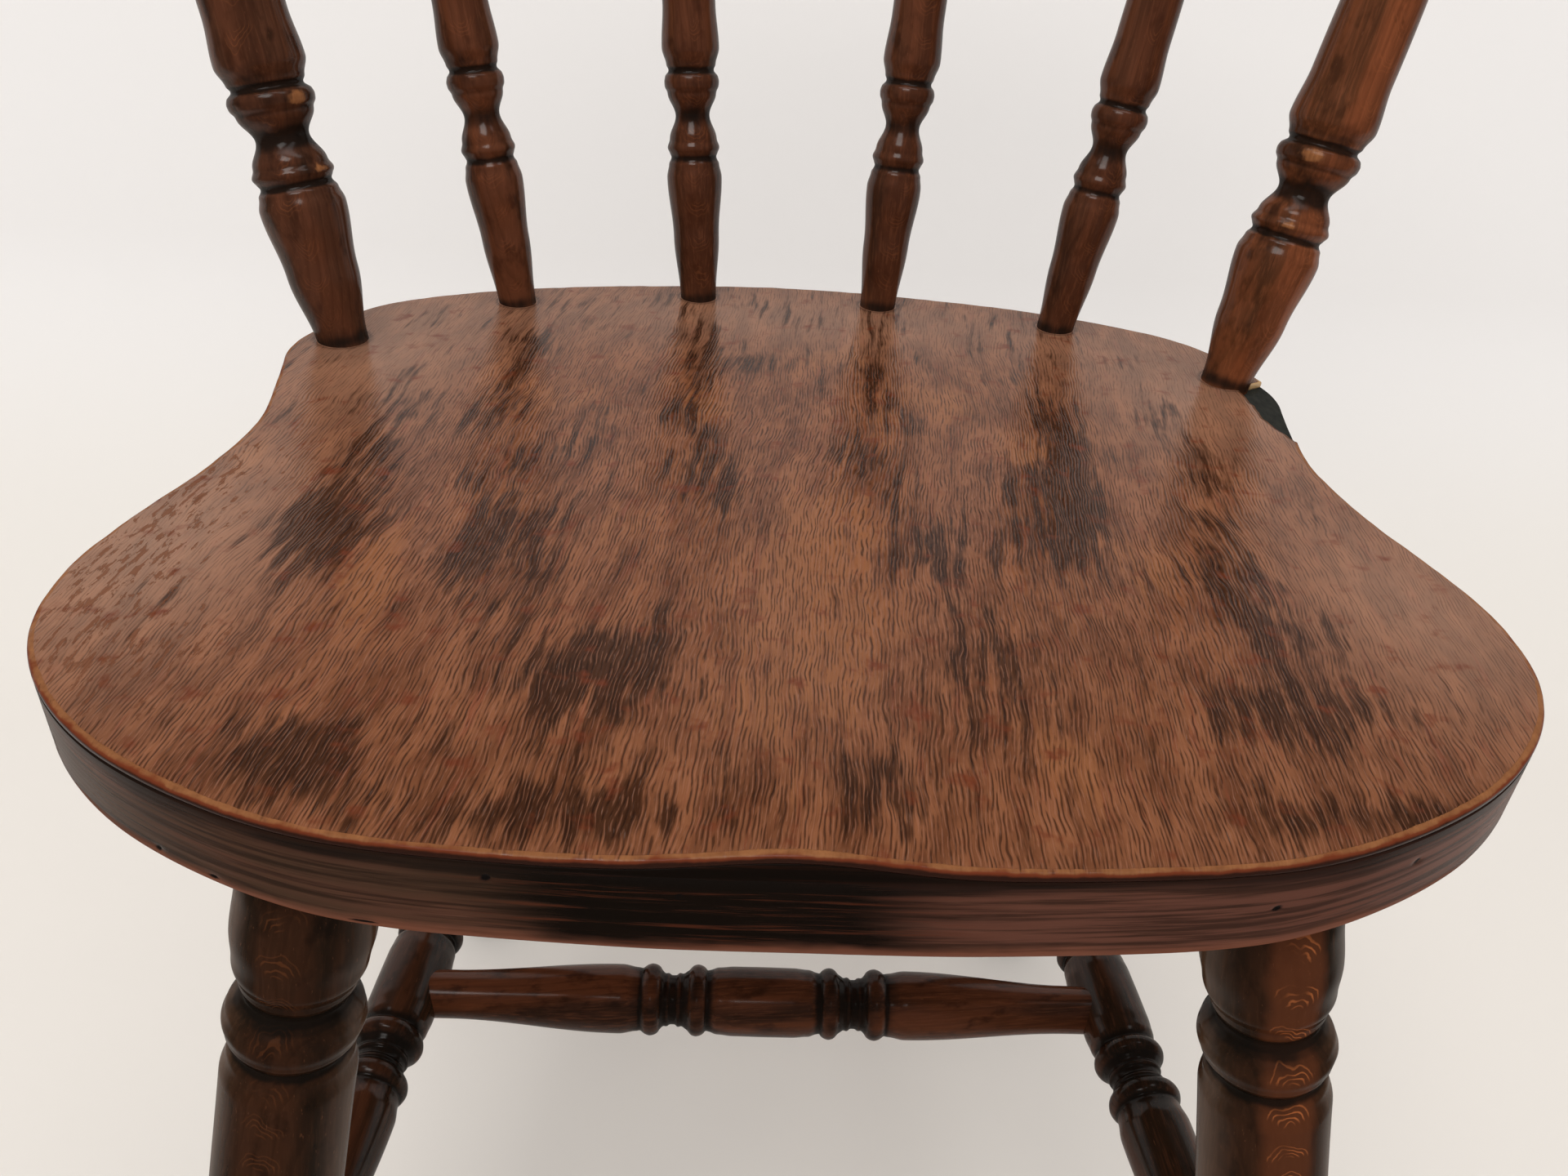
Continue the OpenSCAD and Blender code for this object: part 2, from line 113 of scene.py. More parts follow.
class Shader:
    """Node graph of one material. Each call adds a node and returns its output socket."""

    def __init__(self, name):
        self.material = bpy.data.materials.new(name)
        self.material.use_nodes = True
        self.tree = self.material.node_tree
        self.tree.nodes.clear()

    def node(self, kind, inputs=None, out=0, **settings):
        """Node of this kind. Inputs are sockets to link or values to set."""
        made = self.tree.nodes.new("ShaderNode" + kind)
        for key, value in settings.items():
            setattr(made, key, value)
        for key, value in (inputs or {}).items():
            if isinstance(value, bpy.types.NodeSocket):
                self.tree.links.new(value, made.inputs[key])
            else:
                made.inputs[key].default_value = value
        return made.outputs[out] if len(made.outputs) else made

    def field(self, name, out="Fac"):
        """Attribute kept on the mesh by piece()."""
        return self.node("Attribute", out=out, attribute_name=name)

    def parts(self, vector):
        """The three numbers of a vector."""
        first = self.node("SeparateXYZ", {0: vector})
        return [first.node.outputs[n] for n in range(3)]

    def vector(self, x=0.0, y=0.0, z=0.0):
        return self.node("CombineXYZ", {0: x, 1: y, 2: z})

    def plane(self, x, scale_x, y, scale_y, z):
        """Vector of two scaled numbers and a third as it is."""
        return self.vector(self.times(x, scale_x), self.times(y, scale_y), z)

    def scaled(self, vector, x, y, z):
        """Vector with each of its numbers scaled."""
        return self.node("VectorMath", {0: vector, 1: (x, y, z)}, operation="MULTIPLY")

    def math(self, operation, a, b=0.0, c=0.0):
        return self.node("Math", {0: a, 1: b, 2: c}, operation=operation)

    def add(self, *values):
        total = values[0]
        for value in values[1:]:
            total = self.math("ADD", total, value)
        return total

    def times(self, *values):
        total = values[0]
        for value in values[1:]:
            total = self.math("MULTIPLY", total, value)
        return total

    def noise(self, vector, detail=2.0, rough=0.5):
        return self.node("TexNoise", {"Vector": vector, "Scale": 1.0, "Detail": detail, "Roughness": rough})

    def swing(self, vector, reach, detail=2.0, rough=0.5):
        """Noise about zero, as far as reach each way."""
        return self.math("MULTIPLY_ADD", self.noise(vector, detail, rough), 2 * reach, -reach)

    def step(self, value, low, high, start=0.0, end=1.0):
        """Smooth turn from start to end while value goes from low to high."""
        return self.node(
            "MapRange", {0: value, 1: low, 2: high, 3: start, 4: end}, interpolation_type="SMOOTHSTEP"
        )

    def blend(self, share, a, b):
        """Colour a, turning into colour b as share goes from 0 to 1."""
        a, b = (v if isinstance(v, bpy.types.NodeSocket) else (*v, 1.0) for v in (a, b))
        return self.node("Mix", {0: share, 6: a, 7: b}, out=2, data_type="RGBA")

    def bump(self, height, reach, normal=None, strength=1.0):
        """Relief from a height of 0 to 1 that stands for reach millimetres."""
        inputs = {"Height": height, "Distance": reach * MM, "Strength": strength}
        if normal:
            inputs["Normal"] = normal
        return self.node("Bump", inputs)

    def finish(self, **inputs):
        """Material of one principled shader with these inputs."""
        named = {key.replace("_", " "): value for key, value in inputs.items()}
        shader = self.node("BsdfPrincipled", named)
        self.node("OutputMaterial", {"Surface": shader})
        return self.material


CORE_LOW, CORE_HIGH = (np.array(corner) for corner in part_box("seat_core"))
UNDERSIDE = CORE_LOW[2]
LOWER_ROUND = 7 * MM
CORE_TOP = UNDERSIDE + 29 * MM
SHEET = 3 * MM
SEAT_TOP = CORE_TOP + SHEET
FRONT_Y, BACK_Y = CORE_LOW[1], CORE_HIGH[1]
MIDDLE = np.array([0.0, (FRONT_Y + BACK_Y) / 2])


def closed_curve(points, count):
    """Places along a smooth closed curve through points, cubic between each pair, and their distances
    along it. count is a number of even steps, or the shares of the way to stop at."""
    t = np.linspace(0, 1, 24, endpoint=False)[:, None]
    before, after, beyond = np.roll(points, 1, 0), np.roll(points, -1, 0), np.roll(points, -2, 0)
    fine = []
    for a, b, c, d in zip(before, points, after, beyond):
        square, cube = 2 * a - 5 * b + 4 * c - d, 3 * b - a - 3 * c + d
        fine.append((2 * b + (c - a) * t + square * t**2 + cube * t**3) / 2)
    fine = np.concatenate(fine)
    loop = np.concatenate([fine, fine[:1]])
    along = np.concatenate([[0], np.cumsum(np.linalg.norm(np.diff(loop, axis=0), axis=1))])
    even = count if isinstance(count, np.ndarray) else np.linspace(0, 1, count, endpoint=False)
    even = even * along[-1]
    return np.stack([np.interp(even, along, loop[:, n]) for n in (0, 1)], -1), even


core_points = cad_points("seat_core")
at_widest = np.abs(core_points[:, 2] - UNDERSIDE - LOWER_ROUND) < 1e-5
ring = np.unique(core_points[at_widest].round(7), axis=0)[:, :2]
ring = ring[np.argsort(np.arctan2(*(ring - MIDDLE).T[::-1]))]


POMMEL_RISE, POMMEL_X, POMMEL_REACH = 4.6 * MM, -4 * MM, 30 * MM


def pommel(x, y):
    """Rise of the seat's top: a bell across the middle that fades over the front third."""
    back = np.clip(1 - (y - FRONT_Y) / ((BACK_Y - FRONT_Y) / 3), 0, 1)
    return POMMEL_RISE * np.exp(-(((x - POMMEL_X) / POMMEL_REACH) ** 2)) * back**2 * (3 - 2 * back)


def ripple(along, seed, waves, reach):
    """Smooth unevenness round a closed line: a sum of sines with whole numbers of waves."""
    made = np.random.default_rng(seed)
    turn = 2 * np.pi * along / along.max()
    total = sum(np.sin(turn * n + made.uniform(0, 6.3)) * made.uniform(0.4, 1) for n in waves)
    return reach * total / math.sqrt(len(waves))


# the face sheet's break lies on the right, beyond BREAK_X and between these two distances from the back:
# the rim's steps crowd at its two ends
BREAK_X = 0.15
BREAK_Y = (BACK_Y - 149 * MM, BACK_Y - 97 * MM)
coarse, coarse_along = closed_curve(ring, 4000)
share_at = coarse_along / (coarse_along[-1] + coarse_along[1])
right = coarse[:, 0] > BREAK_X
crowded = [share_at[right][np.argmin(np.abs(coarse[right, 1] - y))] for y in BREAK_Y]
steps = np.concatenate(
    [np.linspace(0, 1, 860, endpoint=False)] + [at + np.linspace(-1, 1, 21) * 0.0021 for at in crowded]
)
rim, along = closed_curve(ring, np.unique(steps.round(6) % 1))
spoke = rim - MIDDLE
reach = np.linalg.norm(spoke, axis=1)


def seat_grid(rows, edge=None):
    """Rows over the seat's outline, each [inset in metres or None, share or None, height]: an inset is
    measured in from the edge, a share out from the middle."""
    edge = reach if edge is None else edge
    grid = []
    for inset, share, z in rows:
        far = (edge - inset) if inset is not None else edge * share
        xy = MIDDLE + spoke * (far / reach)[:, None]
        grid.append(np.concatenate([xy, np.broadcast_to(z, len(xy))[:, None]], 1))
    return np.array(grid)


turn = np.linspace(0, math.pi / 2, 11)
rows = [[None, share, UNDERSIDE] for share in (0.08, 0.3, 0.5, 0.7, 0.85, 0.92)]
rows += [[LOWER_ROUND * (1 - math.sin(a)), None, UNDERSIDE + LOWER_ROUND * (1 - math.cos(a))] for a in turn]
lift = pommel(*rim.T)
flat_side = np.linspace(0, 1, 26)[1:]
for share in flat_side:
    plies = 0.05 * MM * math.sin(share * 19 * math.pi)
    side_height = CORE_TOP - UNDERSIDE - LOWER_ROUND + lift
    rows.append([plies + 0.06 * MM, None, UNDERSIDE + LOWER_ROUND + share * side_height])
core_top_rows = [0.4, 1, 1.8, 2.8, 4, 5.5, 7, 9, 11, 13.5, 17]
rows += [[d * MM, None, CORE_TOP] for d in core_top_rows]
rows += [[None, share, CORE_TOP] for share in (0.85, 0.75, 0.62, 0.45, 0.25, 0.08)]
grid = seat_grid(rows)
top_from = 6 + len(turn) + len(flat_side)
grid[top_from:, :, 2] += pommel(grid[top_from:, :, 0], grid[top_from:, :, 1])
# nicks in the edge: x and y beside the rim in metres, then height above the underside, reach along the
# rim, reach up it and depth in millimetres
NICKS = [
    (-0.196, -0.135, 8, 2.2, 3.5, 0.9), (-0.19, -0.142, 12, 1.0, 3.0, 0.6),
    (-0.158, -0.176, 7, 1.3, 1.0, 0.8), (-0.143, -0.186, 6, 1.8, 0.9, 0.8),
    (0.113, -0.198, 17, 1.5, 0.9, 0.7), (-0.075, -0.204, 24, 1.4, 1.1, 0.9),
    (-0.03, -0.206, 22, 1.0, 0.7, 0.5), (0.15, -0.18, 20, 1.2, 0.8, 0.6),
    (-0.105, -0.2, 5, 4.0, 0.5, 0.4),
]
height = (grid[..., 2] - UNDERSIDE) / MM
chipped = np.zeros(grid.shape[:2])
for x, y, high_at, wide, tall, deep in NICKS:
    beside = (along - along[np.hypot(rim[:, 0] - x, rim[:, 1] - y).argmin()]) / MM
    chip = np.exp(-((beside / wide) ** 2)) * np.exp(-(((height - high_at) / tall) ** 2))
    grid[..., :2] -= (spoke / reach[:, None]) * (deep * MM * chip)[..., None]
    chipped = np.maximum(chipped, chip)

level = (grid[..., 2] - UNDERSIDE) / (CORE_TOP - UNDERSIDE)
depth = np.zeros(grid.shape[:2])
for n, d in enumerate(core_top_rows):
    depth[top_from + n] = d / 10
depth[top_from + len(core_top_rows):] = 2.0

s = Shader("stained core edge")
arc = s.field("arc")
high = s.field("high")
bare = s.field("bare")
place = s.node("TexCoord", out="Object")
mm = s.scaled(place, 1000, 1000, 1000)
px = s.parts(mm)[0]
streak = s.noise(s.plane(arc, 14.0, high, 13.0, 0.0), 4.0, 0.6)
broad = s.noise(s.plane(arc, 9.0, high, 2.5, 3.0), 3.0, 0.55)
fleck = s.noise(s.plane(arc, 60.0, high, 60.0, 9.0), 2.0, 0.6)
# the edge grows lighter from the left of the front to the right: partly its stain, partly a painted sheen
colour = s.blend(s.step(px, -80.0, 60.0), (0.054, 0.027, 0.0155), (0.105, 0.041, 0.027))
colour = s.blend(s.times(s.step(broad, 0.4, 0.68), 0.6), colour, (0.11, 0.042, 0.026))
colour = s.blend(s.times(s.step(streak, 0.58, 0.4), 0.7), colour, (0.014, 0.0075, 0.0045))
colour = s.blend(s.times(s.step(fleck, 0.62, 0.76), 0.35), colour, (0.16, 0.075, 0.05))
# the middle of the front is near black, with red wood along its streaks
front_rag = s.swing(s.plane(arc, 16.0, high, 7.0, 2.0), 0.3, 3.0, 0.6)
front = s.step(s.add(s.field("front"), front_rag), 0.1, 0.6)
colour = s.blend(s.times(front, 0.94), colour, (0.0032, 0.0018, 0.001))
near_front = s.step(s.field("front"), 0.02, 0.4)
red = s.times(s.step(streak, 0.5, 0.62), s.step(fleck, 0.4, 0.6), near_front)
colour = s.blend(s.times(red, 0.6), colour, (0.085, 0.021, 0.009))
top_rag = s.swing(s.plane(arc, 22.0, high, 3.0, 5.0), 0.1)
top_shade = s.step(s.add(high, top_rag), 0.78, 0.97)
colour = s.blend(s.times(top_shade, 0.85), colour, (0.006, 0.004, 0.003))
worn = s.add(high, s.swing(s.plane(arc, 30.0, high, 3.0, 6.0), 0.12, 3.0, 0.6))
rubbed = s.times(s.step(worn, 0.3, 0.12), s.step(worn, -0.1, 0.03))
colour = s.blend(s.times(rubbed, 0.8), colour, (0.2, 0.075, 0.045))
# painted shade: each nick is darkened to near black
nick = s.field("nick")
colour = s.blend(s.step(nick, 0.2, 0.6), colour, (0.005, 0.0035, 0.003))
open_wood = s.step(bare, 0.01, 0.04)
grey = s.blend(s.noise(s.scaled(mm, 0.5, 0.16, 1.0), 3.0, 0.6), (0.008, 0.0095, 0.009), (0.035, 0.034, 0.028))
colour = s.blend(open_wood, colour, grey)
corner = s.step(high, 0.965, 0.99)
gloss = s.add(0.34, s.times(broad, 0.12), s.times(open_wood, 0.4), s.times(corner, 0.4))
relief = s.bump(streak, 0.12, strength=0.6)
relief = s.bump(fleck, 0.05, relief, 0.5)
uncoated = s.math("MAXIMUM", s.math("MAXIMUM", open_wood, corner), rubbed)
core_finish = s.finish(
    Base_Color=colour, Roughness=gloss, Normal=relief, Coat_Weight=s.step(uncoated, 0.0, 0.6, 0.3, 0.05),
    Coat_Roughness=0.16, Specular_IOR_Level=0.0,
)
front_middle = np.exp(-(((rim[:, 0] + 0.022) / 0.045) ** 2)) * (rim[:, 1] < 0)
piece(
    "seat-core", "seat_core", "seat_core", grid, core_finish,
    ends=[[*MIDDLE, UNDERSIDE], [*MIDDLE, CORE_TOP]],
    arc=np.broadcast_to(along[None], grid.shape[:2]), high=level, bare=depth,
    front=np.broadcast_to(front_middle[None], grid.shape[:2]), nick=chipped,
)

# ==== Face sheet ==================================================================================
# The real sheet is about 3 mm of veneer with deep oak-like grain pressed into it, glued on the core.
# Its brown stain has worn off in streaks from dark to orange, the lacquer has flaked at the left
# lobe, its edge is rubbed to bare wood, and a long splinter has broken away behind the right waist.

# the broken edge's least and most x, and its x where no point of it is near
BROKEN_LEAST, BROKEN_MOST, BROKEN_USUAL = 0.182, 0.1975, 0.193
sheet_points = cad_points("seat_face_sheet")
edge_points = sheet_points[
    (sheet_points[:, 0] > BROKEN_LEAST)
    & (sheet_points[:, 1] > BREAK_Y[0] - 1 * MM)
    & (sheet_points[:, 1] < BREAK_Y[1] + 1 * MM)
    & (np.abs(sheet_points[:, 2] - CORE_TOP) < 1e-5)
]
# the broken edge is the innermost line of those points
edge_y = np.linspace(BREAK_Y[0], BREAK_Y[1], 24)
edge_x = []
for y in edge_y:
    near = edge_points[np.abs(edge_points[:, 1] - y) < 7 * MM]
    inner = near[near[:, 0] < BROKEN_MOST]
    edge_x.append(inner[:, 0].min() if len(inner) else BROKEN_USUAL)
edge_x = np.array(edge_x)
torn = rng.normal(0, 1, 400)
torn = np.convolve(torn, np.ones(3) / 3, "same")

shares = np.linspace(0.93, 1, 160)
crossed = MIDDLE[:, None, None] + spoke.T[:, :, None] * shares[None, None]
inside_break = (crossed[0] > BREAK_X) & (crossed[1] > BREAK_Y[0]) & (crossed[1] < BREAK_Y[1])
wall = np.interp(crossed[1], edge_y, edge_x) + 0.35 * MM * np.interp(
    crossed[1], np.linspace(BREAK_Y[0], BREAK_Y[1], 60), torn[:60]
)
# towards the waist the splinter ran out into the rim
RUN_OUT = 15 * MM
wall = wall + 3.4 * MM * np.clip((BREAK_Y[0] + RUN_OUT - crossed[1]) / RUN_OUT, 0, 1)
lost = inside_break & (crossed[0] > wall)
first_lost = np.where(lost.any(1), shares[lost.argmax(1)], 1.0)
sheet_edge = reach * first_lost
broken = first_lost < 0.9999

# the edge is rubbed unevenly, most at these places: x and y in metres, reach in millimetres, and how much
RUBBED_EDGE = [(-0.17, -0.155, 45, 0.9), (0.165, -0.165, 60, 0.8), (0.124, -0.182, 7, 1.6)]
RUBBED_EDGE += [(-0.006, -0.205, 9, 1.5)]
wear = 0.5 + ripple(along, 5, [3, 5, 9, 14, 23, 37, 61], 0.4) + ripple(along, 8, [90, 131, 170], 0.2)
for x, y, wide, more in RUBBED_EDGE:
    wear += more * np.exp(-((np.hypot(rim[:, 0] - x, rim[:, 1] - y) / (wide * MM)) ** 2))
wear = np.clip(wear, 0.08, 2.4)
soft = 0.35 * MM * np.clip(wear, 0, 1.6)
profile = [(0.25, 0.0), (0.08, 0.2), (0.0, 0.45), (0.0, 0.62), (0.12, 0.76), (0.4, 0.88), (0.85, 0.95)]
profile += [(1.5, 0.985)]
rows = [[None, share, CORE_TOP] for share in (0.1, 0.4, 0.7, 0.9)]
for inset, share in profile:
    rows.append([inset * MM + soft * share**4, None, CORE_TOP + share * SHEET - soft * 0.5 * share**3 + lift])
for d in (2.3, 3.2, 4.3, 5.6, 7.2, 9, 11.2, 14, 17.5, 22):
    rows.append([d * MM + soft * 0.2, None, SEAT_TOP - soft * 0.25 * math.exp(-(d - 2.3) / 1.5)])
last_share = 1 - 27 * MM / reach.mean()
rows += [[None, share, SEAT_TOP] for share in np.linspace(last_share, 0.02, 62)]
grid = seat_grid(rows, sheet_edge)
top_from = 4 + len(profile)
grid[top_from:, :, 2] += pommel(grid[top_from:, :, 0], grid[top_from:, :, 1])
grid[:4, :, 2] += pommel(grid[:4, :, 0], grid[:4, :, 1])
x, y = grid[..., 0], grid[..., 1]


def blots(spots):
    """Soft ellipses on the seat, each [x, y, half width, half length, strength] in millimetres."""
    total = np.zeros(x.shape)
    for cx, cy, wide, long, strength in spots:
        total = total + strength * np.exp(-((((x / MM - cx) / wide) ** 2 + ((y / MM - cy) / long) ** 2)))
    return total


# dark stain patches on the seat, each [x, y, half width, half length, strength] in millimetres; the wide one
# at the back darkens the rear, and the last six, running forward from the posts and spindles, are painted
# reflections of them
DARK = [
    (-55, -137, 26, 34, 1.0), (-92, -70, 24, 40, 0.8), (-150, -63, 14, 40, 0.8), (-28, -17, 10, 32, 0.8),
    (45, -63, 14, 36, 0.8), (92, -37, 20, 48, 1.0), (138, -83, 16, 34, 0.8), (135, -143, 34, 20, 0.8),
    (135, -183, 40, 9, 0.9), (52, -137, 18, 26, 0.8), (18, -180, 26, 14, 0.7), (-58, -190, 44, 10, 0.8),
    (-125, -172, 28, 18, 0.8), (-8, 80, 18, 14, 0.6), (22, 0, 12, 16, 0.7), (-82, 3, 30, 30, 0.45),
    (-180, -110, 14, 20, 0.3), (0, 150, 170, 60, 0.25), (-150, 0, 14, 75, 0.6), (-111, 65, 12, 60, 0.7),
    (-38, 60, 11, 60, 0.8), (36, 55, 11, 60, 0.8), (104, 50, 12, 60, 0.75), (150, 5, 14, 60, 0.7),
]
ORANGE = [
    (6, -78, 26, 66, 1.0), (62, 50, 15, 18, 0.9), (18, 93, 18, 14, 0.8), (-35, 33, 16, 22, 0.7),
    (88, 10, 14, 16, 0.9), (115, -70, 16, 22, 0.7), (66, -168, 12, 18, 0.9), (-128, -93, 12, 42, 0.8),
    (-92, 40, 26, 22, 0.6), (-60, -60, 12, 26, 0.5), (-190, -20, 6, 12, 0.9), (-10, -150, 20, 30, 0.5),
    (30, 40, 30, 30, 0.35),
]
FLAKED = [
    (-200, -90, 22, 50, 1.0), (-175, -140, 26, 26, 0.8), (-196, -30, 12, 34, 0.7), (-170, -20, 14, 26, 0.4),
]
# where the skin is smoother and carries a painted grey sheen, each [x, y, half width, half length, strength]
# in millimetres
SMOOTH_AND_SHEEN = [
    (195, -90, 38, 60, 0.75), (-200, -80, 40, 70, 1.0), (170, 70, 50, 70, 0.7), (-170, 80, 45, 70, 0.75),
    (0, 140, 170, 45, 0.7),
]
gap = np.zeros(grid.shape[:2])
for n in range(top_from, len(rows)):
    gap[n] = (sheet_edge - np.linalg.norm(grid[n, :, :2] - MIDDLE, axis=1)) / MM
side = np.zeros(grid.shape[:2])
side[:4] = 1
for n, (inset, share) in enumerate(profile):
    side[4 + n] = 1 - share
torn_face = np.zeros(grid.shape[:2])
near_break = np.convolve(broken.astype(float), np.ones(5), "same") > 0
torn_face[2:top_from + 1, near_break] = 1
feet = np.full(grid.shape[:2], 99.0)
turned_back = ["post_left", "post_right"]
turned_back += ["spindle_outer_left", "spindle_inner_left", "spindle_inner_right", "spindle_outer_right"]


def axis_ends(name):
    """Both ends of a turned node's axis: the middles of its end faces, found along its longest direction."""
    points = cad_points(name)
    centred = points - points.mean(0)
    direction = np.linalg.eigh(centred.T @ centred)[1][:, -1]
    direction *= np.sign(direction[np.abs(direction).argmax()])
    t = points @ direction
    found = []
    for end in (points[t < t.min() + 6 * MM], points[t > t.max() - 6 * MM]):
        found.append((end.min(0) + end.max(0)) / 2)
    return found


def at_level(name, z):
    """Where a turned node's axis crosses the height z."""
    low, high = axis_ends(name)
    return low + (high - low) * (z - low[2]) / (high[2] - low[2])


# end diameters of the posts and the spindles
POST_END, SPINDLE_END = 20.6, 16.6
for name in turned_back:
    foot = at_level(name, SEAT_TOP)
    foot_radius = (POST_END if "post" in name else SPINDLE_END) / 2
    feet = np.minimum(feet, np.hypot(x - foot[0], y - foot[1]) / MM - foot_radius)

s = Shader("worn embossed sheet")
place = s.node("TexCoord", out="Object")
mm = s.scaled(place, 1000, 1000, 1000)
px, py = s.parts(mm)[:2]
dark, orange, flaked, smooth = (s.field(n) for n in ("dark", "orange", "flaked", "smooth"))
inset, wear_at, side_at, torn_at, foot_at = (s.field(n) for n in ("inset", "wear", "side", "torn", "foot"))
# grain lines lean a tenth to the right on their way back, and wander a little
slow_wander = s.swing(s.scaled(mm, 0.012, 0.007, 0), 9.0, 1.0)
wander = s.add(slow_wander, s.swing(s.scaled(mm, 0.06, 0.05, 0), 1.2, 1.0))
gx = s.add(px, s.times(py, -0.1), wander)
# pressed lines 1.2 mm apart that sway, crowd and break off after a centimetre or so
sway = s.swing(s.plane(gx, 0.2, py, 0.06, 0.0), 1.5, 2.0)
press = s.math("SINE", s.times(s.add(gx, sway), 5.2))
light_breaks = s.noise(s.plane(gx, 0.7, py, 0.13, 5.0), 2.0, 0.5)
dark_breaks = s.noise(s.plane(gx, 0.7, py, 0.1, 15.0), 2.0, 0.5)
hair = s.noise(s.plane(gx, 2.4, py, 0.16, 4.0), 2.0, 0.6)
feather = s.swing(s.plane(gx, 0.3, py, 0.022, 7.0), 1.0, 3.0, 0.62)
cloud = s.swing(s.plane(gx, 0.045, py, 0.024, 2.0), 1.0, 3.0, 0.6)
stain_and_reflections = s.step(s.add(dark, s.times(feather, 1.3), s.times(cloud, 0.9)), 0.3, 0.85)
glow = s.step(s.add(orange, s.times(feather, -0.9), s.times(cloud, -0.6)), 0.3, 0.85)
tone = s.noise(s.plane(gx, 0.09, py, 0.03, 12.0), 3.0, 0.6)
colour = s.blend(s.step(tone, 0.3, 0.7), (0.104, 0.035, 0.0145), (0.207, 0.077, 0.034))
red_map = s.noise(s.plane(gx, 0.3, py, 0.03, 21.0), 3.0, 0.6)
red_streak = s.step(red_map, 0.56, 0.72)
colour = s.blend(s.times(red_streak, 0.5), colour, (0.17, 0.042, 0.02))
colour = s.blend(s.times(glow, 0.7), colour, (0.235, 0.088, 0.034))
# the lobes and the rear keep a smoother skin, veiled in grey by a painted sheen
colour = s.blend(s.times(smooth, 0.42), colour, (0.37, 0.225, 0.155))
# near-black stain patches, with painted reflections of the posts and spindles among them
colour = s.blend(s.times(stain_and_reflections, 0.86), colour, (0.024, 0.008, 0.0032))
plain = s.times(smooth, 0.75)
valley = s.times(s.step(press, -0.1, -0.9), s.step(dark_breaks, 0.42, 0.56), s.math("SUBTRACT", 1.0, plain))
crest = s.times(s.step(press, 0.5, 1.0), s.step(light_breaks, 0.44, 0.54), s.math("SUBTRACT", 1.0, plain))
colour = s.blend(s.times(valley, s.add(0.5, s.times(tone, 0.36))), colour, (0.014, 0.0048, 0.0022))
# the light crests and grey hairlines are partly painted highlight along the pressed ridges
colour = s.blend(s.times(crest, 0.36), colour, (0.27, 0.115, 0.068))
colour = s.blend(s.times(s.step(hair, 0.6, 0.75), 0.18), colour, (0.3, 0.2, 0.16))
# flaked lacquer: ragged islands, lower and redder than the skin round them
flake_map = s.add(s.noise(s.plane(gx, 0.42, py, 0.11, 31.0), 4.0, 0.68), s.times(flaked, 0.13))
flakes = s.times(s.step(flake_map, 0.66, 0.675), s.step(flaked, 0.1, 0.4))
colour = s.blend(s.times(flakes, 0.75), colour, (0.135, 0.05, 0.025))
# rubbed edge, ragged along the grain
ragged = s.add(inset, s.swing(s.plane(px, 0.3, py, 0.12, 41.0), 1.9, 3.0, 0.65))
bared = s.step(s.math("SUBTRACT", ragged, s.times(wear_at, 0.95)), 0.3, -0.4)
line = s.times(bared, s.step(side_at, 0.3, 0.1))
gold = s.blend(s.noise(s.scaled(mm, 0.25, 0.25, 0.25), 3.0, 0.6), (0.1, 0.033, 0.013), (0.31, 0.13, 0.05))
colour = s.blend(s.times(line, 0.85), colour, gold)
side_rag = s.add(side_at, s.swing(s.plane(px, 0.09, py, 0.09, 51.0), 0.35, 3.0, 0.6))
colour = s.blend(s.step(side_rag, 0.04, 0.2), colour, (0.12, 0.026, 0.01))
lower_side = s.step(side_rag, 0.2, 0.5)
colour = s.blend(s.times(lower_side, 0.92), colour, (0.017, 0.0065, 0.004))
wood = s.blend(s.noise(s.scaled(mm, 0.4, 0.4, 2.5), 3.0, 0.7), (0.36, 0.2, 0.085), (0.6, 0.4, 0.2))
end_face = s.times(torn_at, s.step(py, BREAK_Y[1] / MM - 3, BREAK_Y[1] / MM - 1.5))
colour = s.blend(s.times(torn_at, s.step(inset, 1.2, 0.3), 0.6), colour, (0.03, 0.018, 0.013))
colour = s.blend(s.times(end_face, s.step(inset, 1.4, 0.4)), colour, wood)
# a thin line of old polish round the foot of every turning, with a darker band outside it
foot_band = s.step(s.add(foot_at, s.swing(s.scaled(mm, 0.3, 0.3, 0), 1.2)), 3.0, 0.8)
colour = s.blend(s.times(foot_band, 0.55), colour, (0.03, 0.012, 0.006))
polish = s.step(s.add(foot_at, s.swing(s.scaled(mm, 0.3, 0.3, 0), 0.8)), 0.9, 0.3)
colour = s.blend(s.times(polish, 0.75), colour, (0.27, 0.13, 0.08))
emboss = s.times(
    s.add(0.5, s.times(press, light_breaks, 0.7), s.times(valley, -0.3), s.times(hair, 0.2)),
    s.math("SUBTRACT", 1.0, s.times(smooth, 0.7)), s.step(inset, 0.2, 1.5),
)
skin = s.bump(emboss, 0.07, strength=0.6)
relief = s.bump(emboss, 0.3, strength=0.9)
relief = s.bump(s.math("SUBTRACT", 1.0, flakes), 0.22, relief)
relief = s.bump(s.noise(s.scaled(mm, 0.05, 0.02, 0), 2.0), 1.6, relief, 0.5)
gloss = s.add(0.42, s.times(flakes, 0.2), s.times(line, 0.2), s.times(tone, 0.1))
sheet_finish = s.finish(
    Base_Color=colour, Roughness=gloss, Normal=relief, Specular_IOR_Level=0.0, Coat_Normal=skin,
    Coat_Weight=s.math("SUBTRACT", 0.45, s.times(s.math("MAXIMUM", line, flakes), 0.35)), Coat_Roughness=0.15,
)
